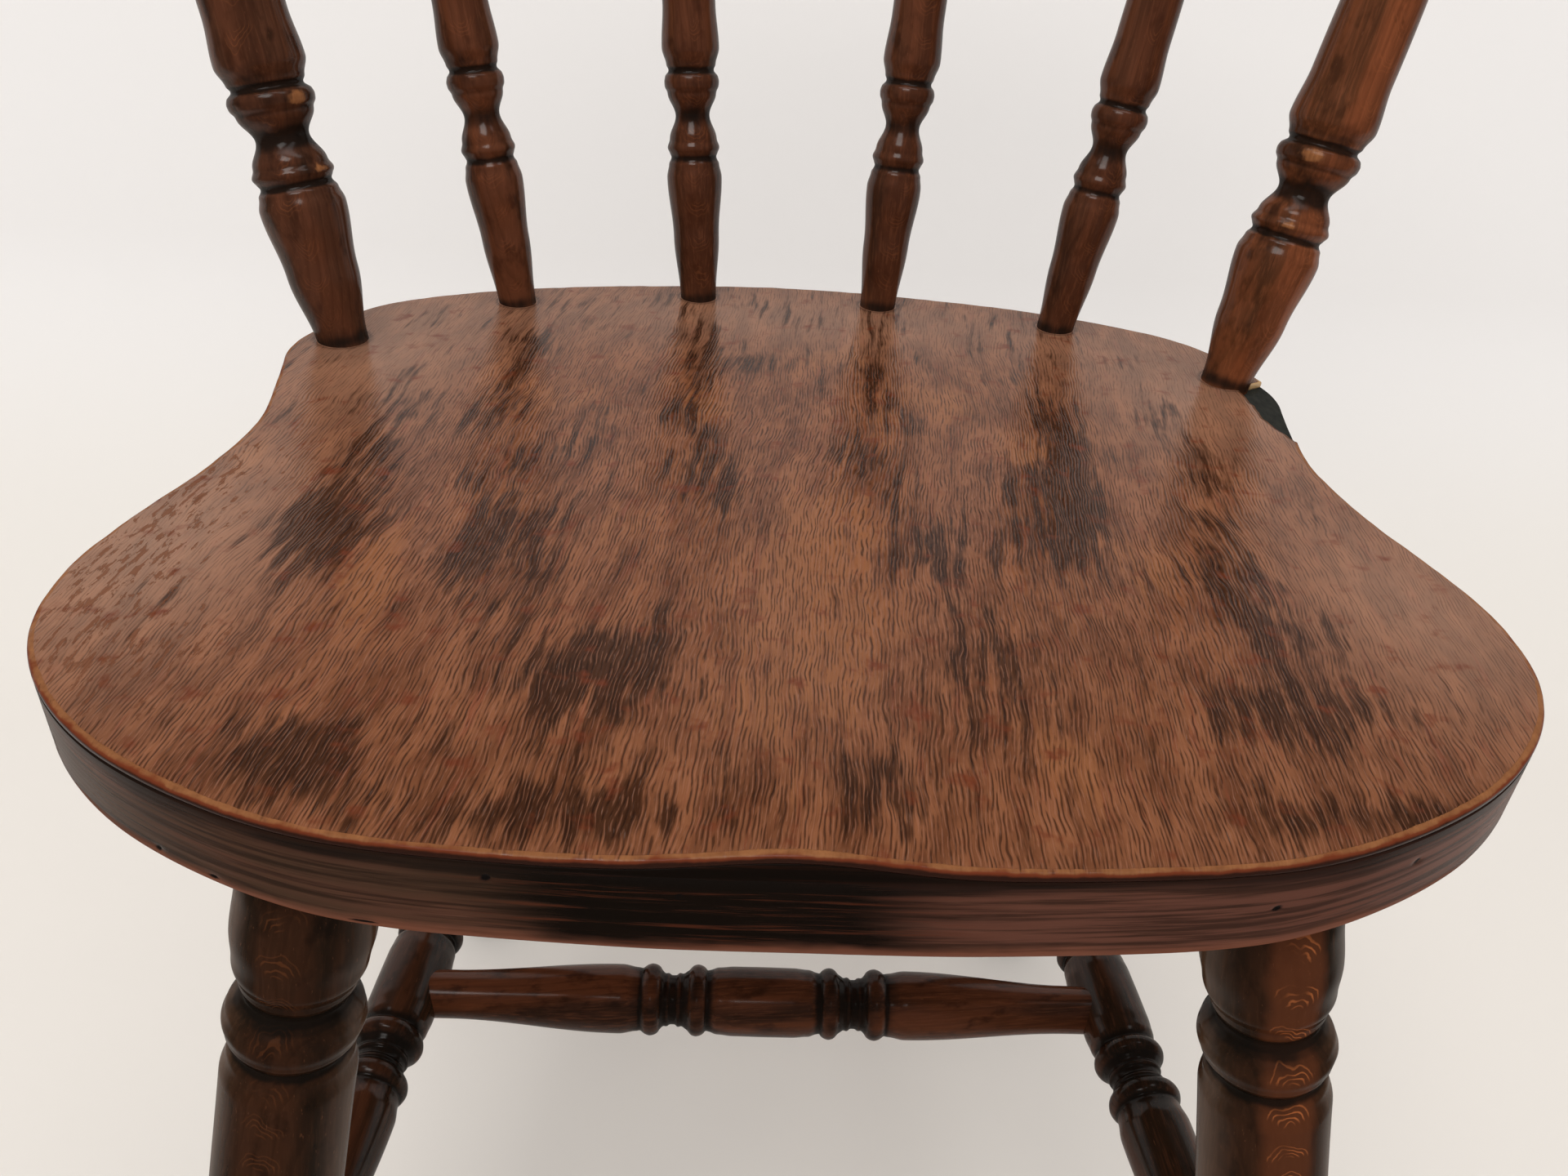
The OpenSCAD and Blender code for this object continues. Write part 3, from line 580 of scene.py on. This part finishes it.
piece(
    "face-sheet", "seat_face_sheet", "seat_face", grid, sheet_finish,
    ends=[[*MIDDLE, CORE_TOP], [*MIDDLE, SEAT_TOP]],
    dark=blots(DARK), orange=blots(ORANGE), flaked=blots(FLAKED), smooth=np.clip(blots(SMOOTH_AND_SHEEN), 0, 1),
    inset=gap, wear=np.broadcast_to(wear[None], x.shape), side=side, torn=torn_face, foot=feet,
)

# ==== Back posts and spindles =====================================================================
# The real posts and spindles are turned beech in one pattern: a vase on the seat, a bead, a hollow,
# a ring, and a bulb that thins upward to the crest rail. They are stained dark brown under gloss
# lacquer, darker in the grooves and rubbed to tan on the rings, and are tenoned at both ends.

SIDES = 88


def smooth_profile(stations):
    """Distances along an axis and radii there, through [distance, diameter, smooth] stations in
    millimetres: a half cosine from a station marked 1 to the next, a straight line otherwise. Rows crowd
    where stations are close."""
    t, r = [], []
    for (t0, d0, curved), (t1, d1, _) in zip(stations, stations[1:]):
        detail = 0.55 if t1 - t0 < 12 else 1.1 if t1 - t0 < 30 else 3.2
        u = np.linspace(0, 1, max(2, int((t1 - t0) / detail)) + 1)[:-1]
        share = (1 - np.cos(math.pi * u)) / 2 if curved else u
        t.append(t0 + (t1 - t0) * u)
        r.append((d0 + (d1 - d0) * share) / 2)
    return np.append(np.concatenate(t), stations[-1][0]), np.append(np.concatenate(r), stations[-1][1] / 2)


def lathe(node, slot, stations, start, end, seed, tenons, finish_material, facing=90, figure=0, rubbed=(),
          floor=False, centre=0.0, start_darkening=0):
    """Turned piece along the line from start to end, both in metres, with stations counted from centre of
    the way. tenons are the radius and length of what runs past each end. It is a little unround, dented
    on its rings, and carries fields for its grooves, rings, grain and arcs. facing turns the strip of
    arcs, in degrees, and rubbed lists [distance, degrees, reach] of spots worn bare. The last argument
    is how much darker its start is made."""
    made = np.random.default_rng(seed)
    t, r = smooth_profile(stations)
    fine = np.arange(t[0], t[-1], 0.25)

    def softened(values, reach):
        """Values along the piece, averaged over a bell of this reach in millimetres."""
        steps = int(16 * reach)
        bell = np.exp(-((np.arange(-steps, steps + 1) * 0.25 / reach) ** 2))
        padded = np.pad(np.interp(fine, t, values), steps, mode="edge")
        return np.interp(t, fine, np.convolve(padded, bell / bell.sum(), "valid"))

    mean_r, r = softened(r, 3.2), softened(r, 0.5)
    groove = np.clip((mean_r - r) / 1.6, 0, 1)
    crown = np.clip((r - mean_r) / 1.1, 0, 1)
    # shade spreads the grooves' darkness along the piece as painted shade, with more darkening at the start
    shade = np.clip(softened(groove, 9.0) * 6 + start_darkening * np.exp(-((t / 3.5) ** 2)), 0, 1)
    angle = np.linspace(0, 2 * math.pi, SIDES, endpoint=False)
    round_by = 1 + 0.005 * np.cos(2 * angle + made.uniform(0, 6))
    around = r[:, None] * round_by + 0.04 * np.sin(3 * angle + t[:, None] * made.uniform(0.02, 0.06))

    def near(distance, degrees, reach):
        """A bell of 1 round a spot on the surface."""
        turned_by = (angle - math.radians(degrees) + math.pi) % (2 * math.pi) - math.pi
        return np.exp(-(((t[:, None] - distance) ** 2 + (turned_by * r[:, None]) ** 2) / reach**2))

    chance = (crown + 1e-4) / (crown + 1e-4).sum()
    for _ in range(8):
        deep = made.uniform(0.1, 0.35)
        around -= deep * near(made.choice(t, p=chance), made.uniform(0, 360), made.uniform(0.8, 2))
    bare = sum((near(*spot) for spot in rubbed), np.zeros_like(around))

    (r0, long0), (r1, long1) = tenons
    before = [(t[0] - long0, r0 - 0.8), (t[0] - long0 + 1, r0), (t[0] - 0.3, r0)] if long0 else []
    after = [(t[-1] + 0.3, r1), (t[-1] + long1 - 1, r1), (t[-1] + long1, r1 - 0.8)] if long1 else []
    pad = ((len(before), len(after)), (0, 0))
    run = np.concatenate([[d for d, _ in before], t, [d for d, _ in after]])[:, None]
    tenon_rows = (np.array([[q] * SIDES for _, q in rows_]).reshape(-1, SIDES) for rows_ in (before, after))
    around = np.concatenate([next(tenon_rows), around, next(tenon_rows)])
    bare = np.pad(bare, pad)
    groove, crown, shade = (np.pad(v, pad[0])[:, None] for v in (groove, crown, shade))
    across = around * ((angle - math.radians(facing) + math.pi) % (2 * math.pi) - math.pi)
    flank = np.exp(-(((np.abs((angle + math.pi / 2) % (2 * math.pi) - math.pi) - 1.4) / 0.45) ** 2))
    run = np.broadcast_to(run, around.shape)

    axis = np.array(end) - np.array(start)
    origin = np.array(start) + axis * centre
    axis /= np.linalg.norm(axis)
    side = np.cross(axis, [0, 1, 0.3])
    side /= np.linalg.norm(side)
    third = np.cross(axis, side)
    local = np.stack([around * np.cos(angle), around * np.sin(angle), run], -1)
    world = origin + MM * (local[..., :1] * side + local[..., 1:2] * third + local[..., 2:] * axis)
    if floor:
        # the foot is sawn flush: its last row slides along the axis to the floor, the rows above keep
        # clear of it
        for k in range(8):
            slide = 0.15 * MM * k - world[-1 - k, :, 2]
            world[-1 - k] += axis * ((np.maximum(slide, 0) if k else slide) / axis[2])[:, None]
    # the log's heart lies off the piece, at its own turn and distance, and leans a little
    heart, away = made.uniform(0, 2 * math.pi), made.uniform(30, 55)
    lean = made.uniform(-0.05, 0.05)
    shift = [away * math.cos(heart) + lean * run, away * math.sin(heart) + 0.07 * run, 0 * run]
    log = local + np.stack(shift, -1)
    log[..., 2] += made.uniform(0, 900)
    spread = dict(groove=groove, crown=crown, shade=shade, flank=flank, figure=float(figure))
    spread = {field: np.broadcast_to(value, run.shape) for field, value in spread.items()}
    piece(
        node.replace("_", "-"), node, slot, world, finish_material, log=log, across=across, run=run,
        bare=bare, **spread,
    )


ARC_STEP = 15.0


def stained_beech(name, base, red, coat, wear_level, side_sheen=0.0):
    """Dark stain on turned beech: growth rings and short flecks, near black in the grooves with painted shade
    beside them, nested orange arcs down one strip, and tan where a ring is rubbed through. coat is the
    lacquer's share, wear_level how far a ring must stand out to be rubbed, and the last argument how strong a
    painted sheen on the flanks is."""
    s = Shader(name)
    log = s.field("log", "Vector")
    groove, crown, shade = (s.field(n) for n in ("groove", "crown", "shade"))
    figure, flank = s.field("figure"), s.field("flank")
    across, run = s.field("across"), s.field("run")
    lx, ly = s.parts(log)[:2]
    slow_sway = s.swing(s.scaled(log, 0.03, 0.03, 0.012), 5.0, 2.0)
    sway = s.add(slow_sway, s.swing(s.scaled(log, 0.3, 0.3, 0.05), 0.5, 2.0))
    far = s.add(s.math("SQRT", s.add(s.times(lx, lx), s.times(ly, ly))), sway)
    growth = s.math("FRACT", s.times(far, 0.3))
    late = s.times(s.step(growth, 0.55, 0.93), s.step(growth, 1.0, 0.95))
    broad = s.noise(s.scaled(log, 0.055, 0.055, 0.006), 3.0, 0.5)
    streak = s.noise(s.scaled(log, 0.9, 0.9, 0.05), 3.0, 0.6)
    fleck = s.noise(s.scaled(log, 1.6, 1.6, 0.32), 2.0, 0.55)
    blotch = s.noise(s.scaled(log, 0.13, 0.13, 0.07), 3.0, 0.6)
    patch = s.noise(s.scaled(log, 0.09, 0.09, 0.04), 2.0, 0.5)
    colour = s.blend(s.step(broad, 0.4, 0.6), base, red)
    colour = s.blend(s.times(s.step(streak, 0.45, 0.7), 0.4), colour, [c * 1.6 for c in red])
    colour = s.blend(s.times(s.step(blotch, 0.5, 0.7), 0.65), colour, [c * 0.45 for c in base])
    colour = s.blend(s.times(late, 0.25), colour, [c * 0.4 for c in base])
    colour = s.blend(s.times(s.step(fleck, 0.66, 0.78), 0.5), colour, (0.13, 0.048, 0.022))
    # painted sheen: both flanks turn pale, streaked
    if side_sheen:
        pale = s.times(flank, side_sheen, s.add(0.6, s.times(streak, 0.6)))
        colour = s.blend(pale, colour, (0.12, 0.066, 0.038))
    # arcs: rings round centres ARC_STEP apart along the strip, drawn only on the start's side of each
    strip = s.step(s.math("ABSOLUTE", s.add(across, s.swing(s.scaled(log, 0.1, 0.1, 0.08), 3.0))), 10.0, 5.0)
    colour = s.blend(s.times(strip, figure, 0.6), colour, [c * k for c, k in zip(red, (3.8, 2.8, 2.3))])
    drift = s.swing(s.scaled(log, 0.1, 0.1, 0.05), 8.0)
    step_down = s.times(s.math("FRACT", s.times(s.add(run, drift), 1 / ARC_STEP)), ARC_STEP)
    below = s.math("SUBTRACT", ARC_STEP, step_down)
    from_centre = s.math("SQRT", s.add(s.times(across, across, 1.6), s.times(below, below)))
    from_centre = s.add(from_centre, s.swing(s.scaled(log, 0.3, 0.3, 0.3), 0.8, 2.0))
    arcs = s.times(s.step(s.math("SINE", s.times(from_centre, 3.5)), 0.4, 0.95), s.step(below, 0.5, 3.0))
    arcs = s.times(arcs, s.step(from_centre, 8.5, 7.0))
    lit = s.step(patch, 0.32, 0.5)
    colour = s.blend(s.times(arcs, strip, figure, lit, 0.8), colour, (0.34, 0.1, 0.03))
    # near black where stain gathers in the grooves, with painted shade spread beside them
    dark_rag = s.swing(s.scaled(log, 0.14, 0.14, 0.07), 0.3)
    dark = s.step(s.add(groove, s.times(shade, 0.5), dark_rag), 0.12, 0.6)
    colour = s.blend(s.times(dark, 0.9), colour, (0.0065, 0.0052, 0.004))
    rub = s.add(s.times(crown, 0.8), s.field("bare"), s.swing(s.scaled(log, 0.09, 0.09, 0.05), 0.7, 3.0, 0.6))
    rub = s.add(rub, s.swing(s.scaled(log, 1.0, 1.0, 0.5), 0.16, 2.0))
    worn = s.step(rub, wear_level, wear_level + 0.3)
    tan = s.blend(streak, (0.15, 0.05, 0.018), (0.36, 0.15, 0.055))
    colour = s.blend(s.times(worn, 0.78), colour, tan)
    relief = s.bump(s.add(s.times(streak, 0.5), s.times(fleck, 0.5)), 0.1, strength=0.5)
    gloss = s.add(0.34, s.times(broad, 0.12), s.times(worn, 0.12))
    return s.finish(
        Base_Color=colour, Roughness=gloss, Normal=relief, Specular_IOR_Level=0.0, Coat_Roughness=0.17,
        Coat_Weight=s.math("SUBTRACT", coat, s.times(s.math("MAXIMUM", worn, dark), coat * 0.5)),
    )


left_post_wood = stained_beech("left post finish", (0.026, 0.0105, 0.0052), (0.062, 0.022, 0.0105), 0.5, 0.95)
back_wood = stained_beech("back turnings finish", (0.036, 0.0135, 0.0065), (0.08, 0.027, 0.012), 0.5, 0.95)
right_post_wood = stained_beech("right post finish", (0.062, 0.0225, 0.0095), (0.13, 0.04, 0.015), 0.45, 0.9)
post_wood = {"post_left": left_post_wood, "post_right": right_post_wood}
# spots on the posts' rings that face inward and forward are rubbed bare: distance, degrees and reach
RUBBED = {"post_left": [(92, 156, 7), (70, 156, 4.5)], "post_right": [(95, 52, 8), (70, 60, 4)]}
CREST_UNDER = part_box("crest_rail")[0][2]
# largest diameters
POST, SPINDLE = 34.4, 25.2


def back_stations(d, base, length, ring_at=94.0):
    """The pattern shared by posts and spindles, from the largest diameter d, the end diameter base and the
    ring's height."""
    r = ring_at
    return [
        [-3, base, 0], [0, base, 1], [r * 0.30, d * 0.83, 1], [r * 0.575, d * 0.985, 1],
        [r * 0.64, d * 0.9, 1], [r * 0.66, d * 0.815, 0], [r * 0.672, d * 0.8, 0], [r * 0.682, d * 0.85, 1],
        [r * 0.71, d * 0.93, 1], [r * 0.75, d * 0.84, 1], [r * 0.855, d * 0.60, 1],
        [r * 0.955, d * 0.86, 1], [r * 0.985, d * 0.955, 1],
        [r * 1.005, d * 0.97, 1], [r * 1.03, d * 0.93, 1], [r * 1.045, d * 0.8, 0], [r * 1.058, d * 0.79, 0],
        [r * 1.072, d * 0.86, 1], [r * 1.15, d, 1], [r * 1.34, d * 0.91, 1], [length * 0.72, d * 0.70, 1],
        [length, base, 0], [length + 4, base, 0],
    ]


for seed, name in enumerate(turned_back):
    foot, head = at_level(name, SEAT_TOP), at_level(name, CREST_UNDER)
    tall = np.linalg.norm(head - foot) / MM
    if "post" in name:
        stations, tenon = back_stations(POST, POST_END, tall), 7.5
    else:
        stations, tenon = back_stations(SPINDLE, SPINDLE_END, tall), 6.0
    # the back's turnings are darkened where they stand on the seat
    lathe(
        name, "turned_back", stations, foot, head, 20 + seed, [(tenon, 15), (tenon, 13)],
        post_wood.get(name, back_wood), facing=100, figure=0.15, rubbed=RUBBED.get(name, ()), start_darkening=0.9,
    )

# ==== Crest rail ==================================================================================
# A curved rail takes the heads of the posts and spindles in bored sockets. None of the real one was
# seen, so it is finished plainly, in the same stained and lacquered beech as the turnings.

crest_high = np.array(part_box("crest_rail")[1])
CREST_HALF = crest_high[0]
CREST_THICK = 22 * MM
crest_points = cad_points("crest_rail")
lowest = crest_points[np.abs(crest_points[:, 2] - CREST_UNDER) < 1e-5]
middle_low = lowest[np.abs(lowest[:, 0]) < 20 * MM]
front_at = middle_low[:, 1].min()
end_low = lowest[lowest[:, 0] > lowest[:, 0].max() - 4 * MM]
span, drop = end_low[:, 0].mean(), front_at - end_low[:, 1].min()
inner_radius = (span**2 + drop**2) / (2 * drop)
crest_radius = inner_radius + CREST_THICK / 2
crest_centre = front_at - inner_radius
TALL, ENDS_DROP, END_ROUND, FOOT_ROUND, LEAN = 72 * MM, 12 * MM, 26 * MM, 9 * MM, 0.15

x_row = CREST_HALF * np.sin(np.linspace(-math.pi / 2, math.pi / 2, 170)) * 0.9985
size = np.abs(x_row)
flat_half = CREST_HALF - END_ROUND
top = np.where(
    size < flat_half, TALL - ENDS_DROP + ENDS_DROP * np.cos(math.pi / 2 * np.minimum(size / flat_half, 1)),
    TALL - ENDS_DROP - END_ROUND + np.sqrt(np.maximum(END_ROUND**2 - (size - flat_half) ** 2, 0)),
)
bottom = np.where(
    size < CREST_HALF - FOOT_ROUND, 0,
    FOOT_ROUND - np.sqrt(np.maximum(FOOT_ROUND**2 - (size - CREST_HALF + FOOT_ROUND) ** 2, 0)),
)
thin = np.sqrt(np.clip(1 - (np.maximum(size - CREST_HALF + 4 * MM, 0) / (4 * MM)) ** 2, 0.04, 1))


def rail_section(height, thick):
    """Outline of the rail across its length: flat below with eased corners, rounded on top."""
    half = thick / 2
    ease = min(2.5 * MM, half * 0.5)
    made = []
    for a in np.linspace(-math.pi / 2, 0, 7):
        made.append((half - ease + ease * math.cos(a), ease + ease * math.sin(a)))
    for q in np.linspace(0, 1, 9)[1:-1]:
        made.append((half, ease + q * (height - half - ease)))
    for a in np.linspace(0, math.pi, 21):
        made.append((half * math.cos(a), height - half + half * math.sin(a)))
    for q in np.linspace(1, 0, 9)[1:-1]:
        made.append((-half, ease + q * (height - half - ease)))
    for a in np.linspace(math.pi, 1.5 * math.pi, 7):
        made.append((-half + ease + ease * math.cos(a), ease + ease * math.sin(a)))
    for q in np.linspace(-1, 1, 7)[1:-1]:
        made.append((q * (half - ease), 0))
    return np.array(made)


grid, log = [], []
for x_at, z0, z1, slim in zip(x_row, bottom, top, thin):
    section = rail_section(z1 - z0, CREST_THICK * slim)
    turn_at = math.asin(x_at / crest_radius)
    z = z0 + section[:, 1]
    out = section[:, 0] + LEAN * z
    # points keep their x, so that the rail's ends stay square across
    y_mid = math.sqrt(crest_radius**2 - x_at**2)
    y_at = crest_centre + y_mid + out / math.cos(turn_at)
    grid.append(np.stack([np.full(len(z), x_at), y_at, CREST_UNDER + z], -1))
    log.append(np.stack([out / MM + 60, z / MM + 12, np.full(len(z), x_at / MM + 400)], -1))
grid, log = np.array(grid), np.array(log)
grid[..., 1] = np.minimum(grid[..., 1], crest_high[1])
grid[..., 2] = np.minimum(grid[..., 2], crest_high[2])
crest_wood = stained_beech("crest rail finish", (0.036, 0.0135, 0.0065), (0.08, 0.027, 0.012), 0.5, 2.0)
# the rail has no grooves, rings or arcs
plain_fields = ("across", "run", "bare", "groove", "crown", "shade", "figure", "flank")
plain_fields = dict.fromkeys(plain_fields, np.zeros(grid.shape[:2]))
piece("crest-rail", "crest_rail", "crest", grid, crest_wood, log=log, **plain_fields)

# ==== Legs ========================================================================================
# The real front legs are turned beech: an egg under the seat, a fat ring between two grooves, and a
# long column. Their grain shows orange through the stain in nested arcs. The rear legs are plain
# tapers. All four are tenoned into the core, splayed, and bored for the stretchers.

# the legs' last number lays a painted sheen down both flanks
leg_wood = stained_beech("leg finish", (0.0095, 0.0056, 0.003), (0.028, 0.011, 0.005), 0.3, 1.3, 0.55)
# which way the strip of arcs faces, in degrees, and how strong it is
ARCS = {"front_leg_left": (98, 0.15), "front_leg_right": (84, 1.0)}


def front_stations(length, d=38.2, foot=27.0):
    """Front leg from the seat down, from its largest diameter d."""
    return [
        [-4, d * 0.84, 0], [0, d * 0.86, 1], [13, d * 0.955, 1], [27, d * 0.985, 1], [38, d * 0.93, 1],
        [45, d * 0.83, 1], [48.6, d * 0.745, 0], [50.6, d * 0.735, 0], [51.6, d * 0.8, 1],
        [56, d * 0.955, 1], [59.5, d, 1],
        [64, d * 0.95, 1], [67, d * 0.86, 0], [68, d * 0.82, 0], [69.5, d * 0.82, 1], [72, d * 0.9, 1],
        [80, d * 0.975, 1], [140, d, 1], [length * 0.62, d * 0.93, 1], [length - 14, foot, 0],
        [length, foot, 0],
    ]


def rear_stations(length, d=34.0, foot=27.0):
    """Rear leg from the seat down, from its largest diameter d."""
    return [
        [-4, d * 0.85, 0], [0, d * 0.85, 1], [length * 0.42, d, 1], [length - 14, foot, 0], [length, foot, 0],
    ]


for seed, name in enumerate(["front_leg_left", "front_leg_right", "rear_leg_left", "rear_leg_right"]):
    top_end, foot = at_level(name, UNDERSIDE), at_level(name, 0.0)
    tall = np.linalg.norm(foot - top_end) / MM
    stations = (front_stations if "front" in name else rear_stations)(tall)
    facing, figure = ARCS.get(name, (90, 0.3))
    lathe(
        name, "turned_base", stations, top_end, foot, 41 + seed, [(11.0, 13), (0, 0)], leg_wood, facing,
        figure, floor=True,
    )

# ==== Stretchers ==================================================================================
# Three stretchers of one pattern form an H: a barrel in the middle, two pairs of rings with a hollow
# between them, and long tapers whose ends are their own tenons. They are the same stained beech,
# with the ring faces rubbed to tan and a red-orange patch on the cross stretcher's barrel.

cross_wood = stained_beech(
    "cross stretcher finish", (0.03, 0.0115, 0.0055), (0.085, 0.026, 0.0105), 0.45, 0.85
)
side_wood = stained_beech("side stretcher finish", (0.016, 0.0085, 0.0045), (0.05, 0.0175, 0.008), 0.45, 0.9)


def half_stations(half, d=30.5, end=20.5):
    """Half a stretcher, from its middle to one end, from its largest diameter d."""
    return [
        [0, d * 0.97, 1], [13, d * 0.965, 1], [20, d * 0.93, 1], [24.4, d * 0.85, 0], [25.4, d * 0.825, 0],
        [26, d * 0.92, 1], [28, d * 0.98, 1], [29.4, d, 1], [31.4, d * 0.97, 1], [32.8, d * 0.88, 0],
        [33.4, d * 0.82, 1], [36.2, d * 0.72, 0], [37, d * 0.75, 1], [38, d * 0.75, 0], [38.6, d * 0.68, 0],
        [41.4, d * 0.68, 0], [42, d * 0.74, 1], [43.2, d * 0.74, 0], [43.8, d * 0.72, 1], [45.6, d * 0.82, 0],
        [46.2, d * 0.92, 1], [48.2, d * 0.98, 1], [49.8, d, 1], [51.8, d * 0.965, 1], [53.2, d * 0.9, 0],
        [54, d * 0.85, 0], [55.2, d * 0.88, 1], [63.5, d * 0.96, 1], [half - 14, end, 0], [half, end, 0],
    ]


for seed, name in enumerate(["side_stretcher_left", "side_stretcher_right", "cross_stretcher"]):
    start, end = axis_ends(name)
    long = np.linalg.norm(end - start) / MM
    # the middle of the rings is a little nearer the front end on the side stretchers
    centre = 0.49 if "side" in name else 0.5
    ahead = half_stations(long * (1 - centre))
    behind = half_stations(long * centre)
    behind = [[-behind[n][0], behind[n][1], behind[n - 1][2]] for n in range(len(behind) - 1, 0, -1)]
    lathe(
        name, "turned_base", behind + ahead, start, end, 61 + seed, [(0, 0), (0, 0)],
        side_wood if "side" in name else cross_wood, centre=centre,
    )

# ==== Floor, light and camera =====================================================================
# The chair stands on a sweep of pale paper. Gloss sees a dim room beyond the paper's edges, and a lamp
# in front. The camera looks down on the seat from in front of it.

FLOOR_BEND, WALL_Y, BEND = 0.36, 0.66, 0.30
sweep_line = [(-4.0, 0.0)] + [
    (FLOOR_BEND + BEND * math.sin(a), BEND * (1 - math.cos(a))) for a in np.linspace(0, math.pi / 2, 25)
] + [(WALL_Y, 3.2)]
verts = [(x_at, y_at, z_at) for y_at, z_at in sweep_line for x_at in (-5.0, 5.0)]
faces = [(2 * n, 2 * n + 1, 2 * n + 3, 2 * n + 2) for n in range(len(sweep_line) - 1)]
mesh = bpy.data.meshes.new("floor-and-backdrop")
mesh.from_pydata(verts, [], faces)
mesh.shade_smooth()
sweep = bpy.data.objects.new("floor-and-backdrop", mesh)
scene.collection.objects.link(sweep)
s = Shader("pale paper")
place = s.node("TexCoord", out="Object")
height = s.parts(place)[2]
mottle = s.noise(s.scaled(place, 2.0, 2.0, 2.0), 3.0)
paper = s.blend(s.step(height, 0.02, 0.3), (0.745, 0.705, 0.655), (0.848, 0.827, 0.815))
paper = s.blend(s.times(mottle, 0.08), paper, (0.76, 0.73, 0.7))
glossy = s.node("LightPath", out="Is Glossy Ray")
# the paper ends above the chair and in front of it, where gloss shows the dark room
room = s.math("MAXIMUM", s.step(s.parts(place)[1], -0.02, -0.4), s.step(height, 0.8, 1.2))
paper = s.blend(s.times(glossy, room, 0.92), paper, (0.05, 0.045, 0.04))
shader = s.node("BsdfDiffuse", {"Color": paper})
behind = s.node("NewGeometry", out=6)
clear = s.node("BsdfTransparent")
both = s.node("MixShader", {0: behind, 1: shader, 2: clear})
s.node("OutputMaterial", {"Surface": both})
mesh.materials.append(s.material)

world = bpy.data.worlds.new("studio")
scene.world = world
world.use_nodes = True
tree = world.node_tree
tree.nodes.clear()
path = tree.nodes.new("ShaderNodeLightPath")


def background(colour, strength=1.0):
    """Plain surroundings of one colour."""
    made = tree.nodes.new("ShaderNodeBackground")
    made.inputs["Color"].default_value = (*colour, 1)
    made.inputs["Strength"].default_value = strength
    return made.outputs[0]


def switched(ray, usual, instead):
    """The usual surroundings, with others instead for one kind of ray."""
    made = tree.nodes.new("ShaderNodeMixShader")
    tree.links.new(path.outputs[ray], made.inputs[0])
    tree.links.new(usual, made.inputs[1])
    tree.links.new(instead, made.inputs[2])
    return made.outputs[0]


shiny = switched("Is Glossy Ray", background((0.985, 0.99, 1.0), 0.82), background((0.07, 0.067, 0.064)))
around_all = switched("Is Camera Ray", shiny, background((0.83, 0.80, 0.77)))
tree.links.new(around_all, tree.nodes.new("ShaderNodeOutputWorld").inputs[0])


def lamp(name, where, target, size_x, size_y, power, tint, in_gloss=True):
    """Soft rectangle of light that faces a point, seen in gloss or not."""
    data = bpy.data.lights.new(name, "AREA")
    data.shape = "RECTANGLE"
    data.size, data.size_y, data.energy, data.color = size_x, size_y, power, tint
    made = bpy.data.objects.new(name, data)
    back = np.array(where) - np.array(target)
    back /= np.linalg.norm(back)
    across = np.cross([0.0, 0.0, 1.0], back)
    across /= np.linalg.norm(across)
    up = np.cross(back, across)
    matrix = np.eye(4)
    matrix[:3, 0], matrix[:3, 1], matrix[:3, 2], matrix[:3, 3] = across, up, back, where
    made.matrix_world = Matrix(matrix.tolist())
    made.visible_glossy = in_gloss
    scene.collection.objects.link(made)


lamp("key", (-0.3, -1.0, 2.0), (0.0, 0.0, 0.4), 0.9, 0.6, 11.0, (1.0, 0.98, 0.95))
lamp("fill left", (-2.2, -0.3, 1.5), (0.0, 0.0, 0.6), 0.9, 1.2, 5.5, (0.97, 0.99, 1.0), False)
lamp("fill right", (2.2, -0.1, 1.5), (0.0, 0.0, 0.6), 0.9, 1.2, 5.5, (0.97, 0.99, 1.0), False)
lamp("wall wash", (0.0, -0.4, 2.6), (0.0, 0.66, 0.7), 2.6, 0.5, 11.0, (1.0, 0.98, 0.97))

camera = bpy.data.cameras.new("camera")
camera.sensor_width, camera.lens, camera.clip_start = 36.0, 28.07, 0.01
eye = bpy.data.objects.new("camera", camera)
CAMERA_AT = (-0.02066, BACK_Y - 0.58123, 0.64677)
yaw, pitch, roll = math.radians(2.83), math.radians(32.93), math.radians(3.82)
ahead = np.array([math.sin(yaw), math.cos(yaw), 0.0])
across = np.array([math.cos(yaw), -math.sin(yaw), 0.0])
sight = ahead * math.cos(pitch) - np.array([0, 0, math.sin(pitch)])
above = ahead * math.sin(pitch) + np.array([0, 0, math.cos(pitch)])
matrix = np.eye(4)
matrix[:3, 0] = across * math.cos(roll) + above * math.sin(roll)
matrix[:3, 1] = above * math.cos(roll) - across * math.sin(roll)
matrix[:3, 2] = -sight
matrix[:3, 3] = CAMERA_AT
eye.matrix_world = Matrix(matrix.tolist())
scene.collection.objects.link(eye)
scene.camera = eye
scene.view_settings.view_transform = "Standard"
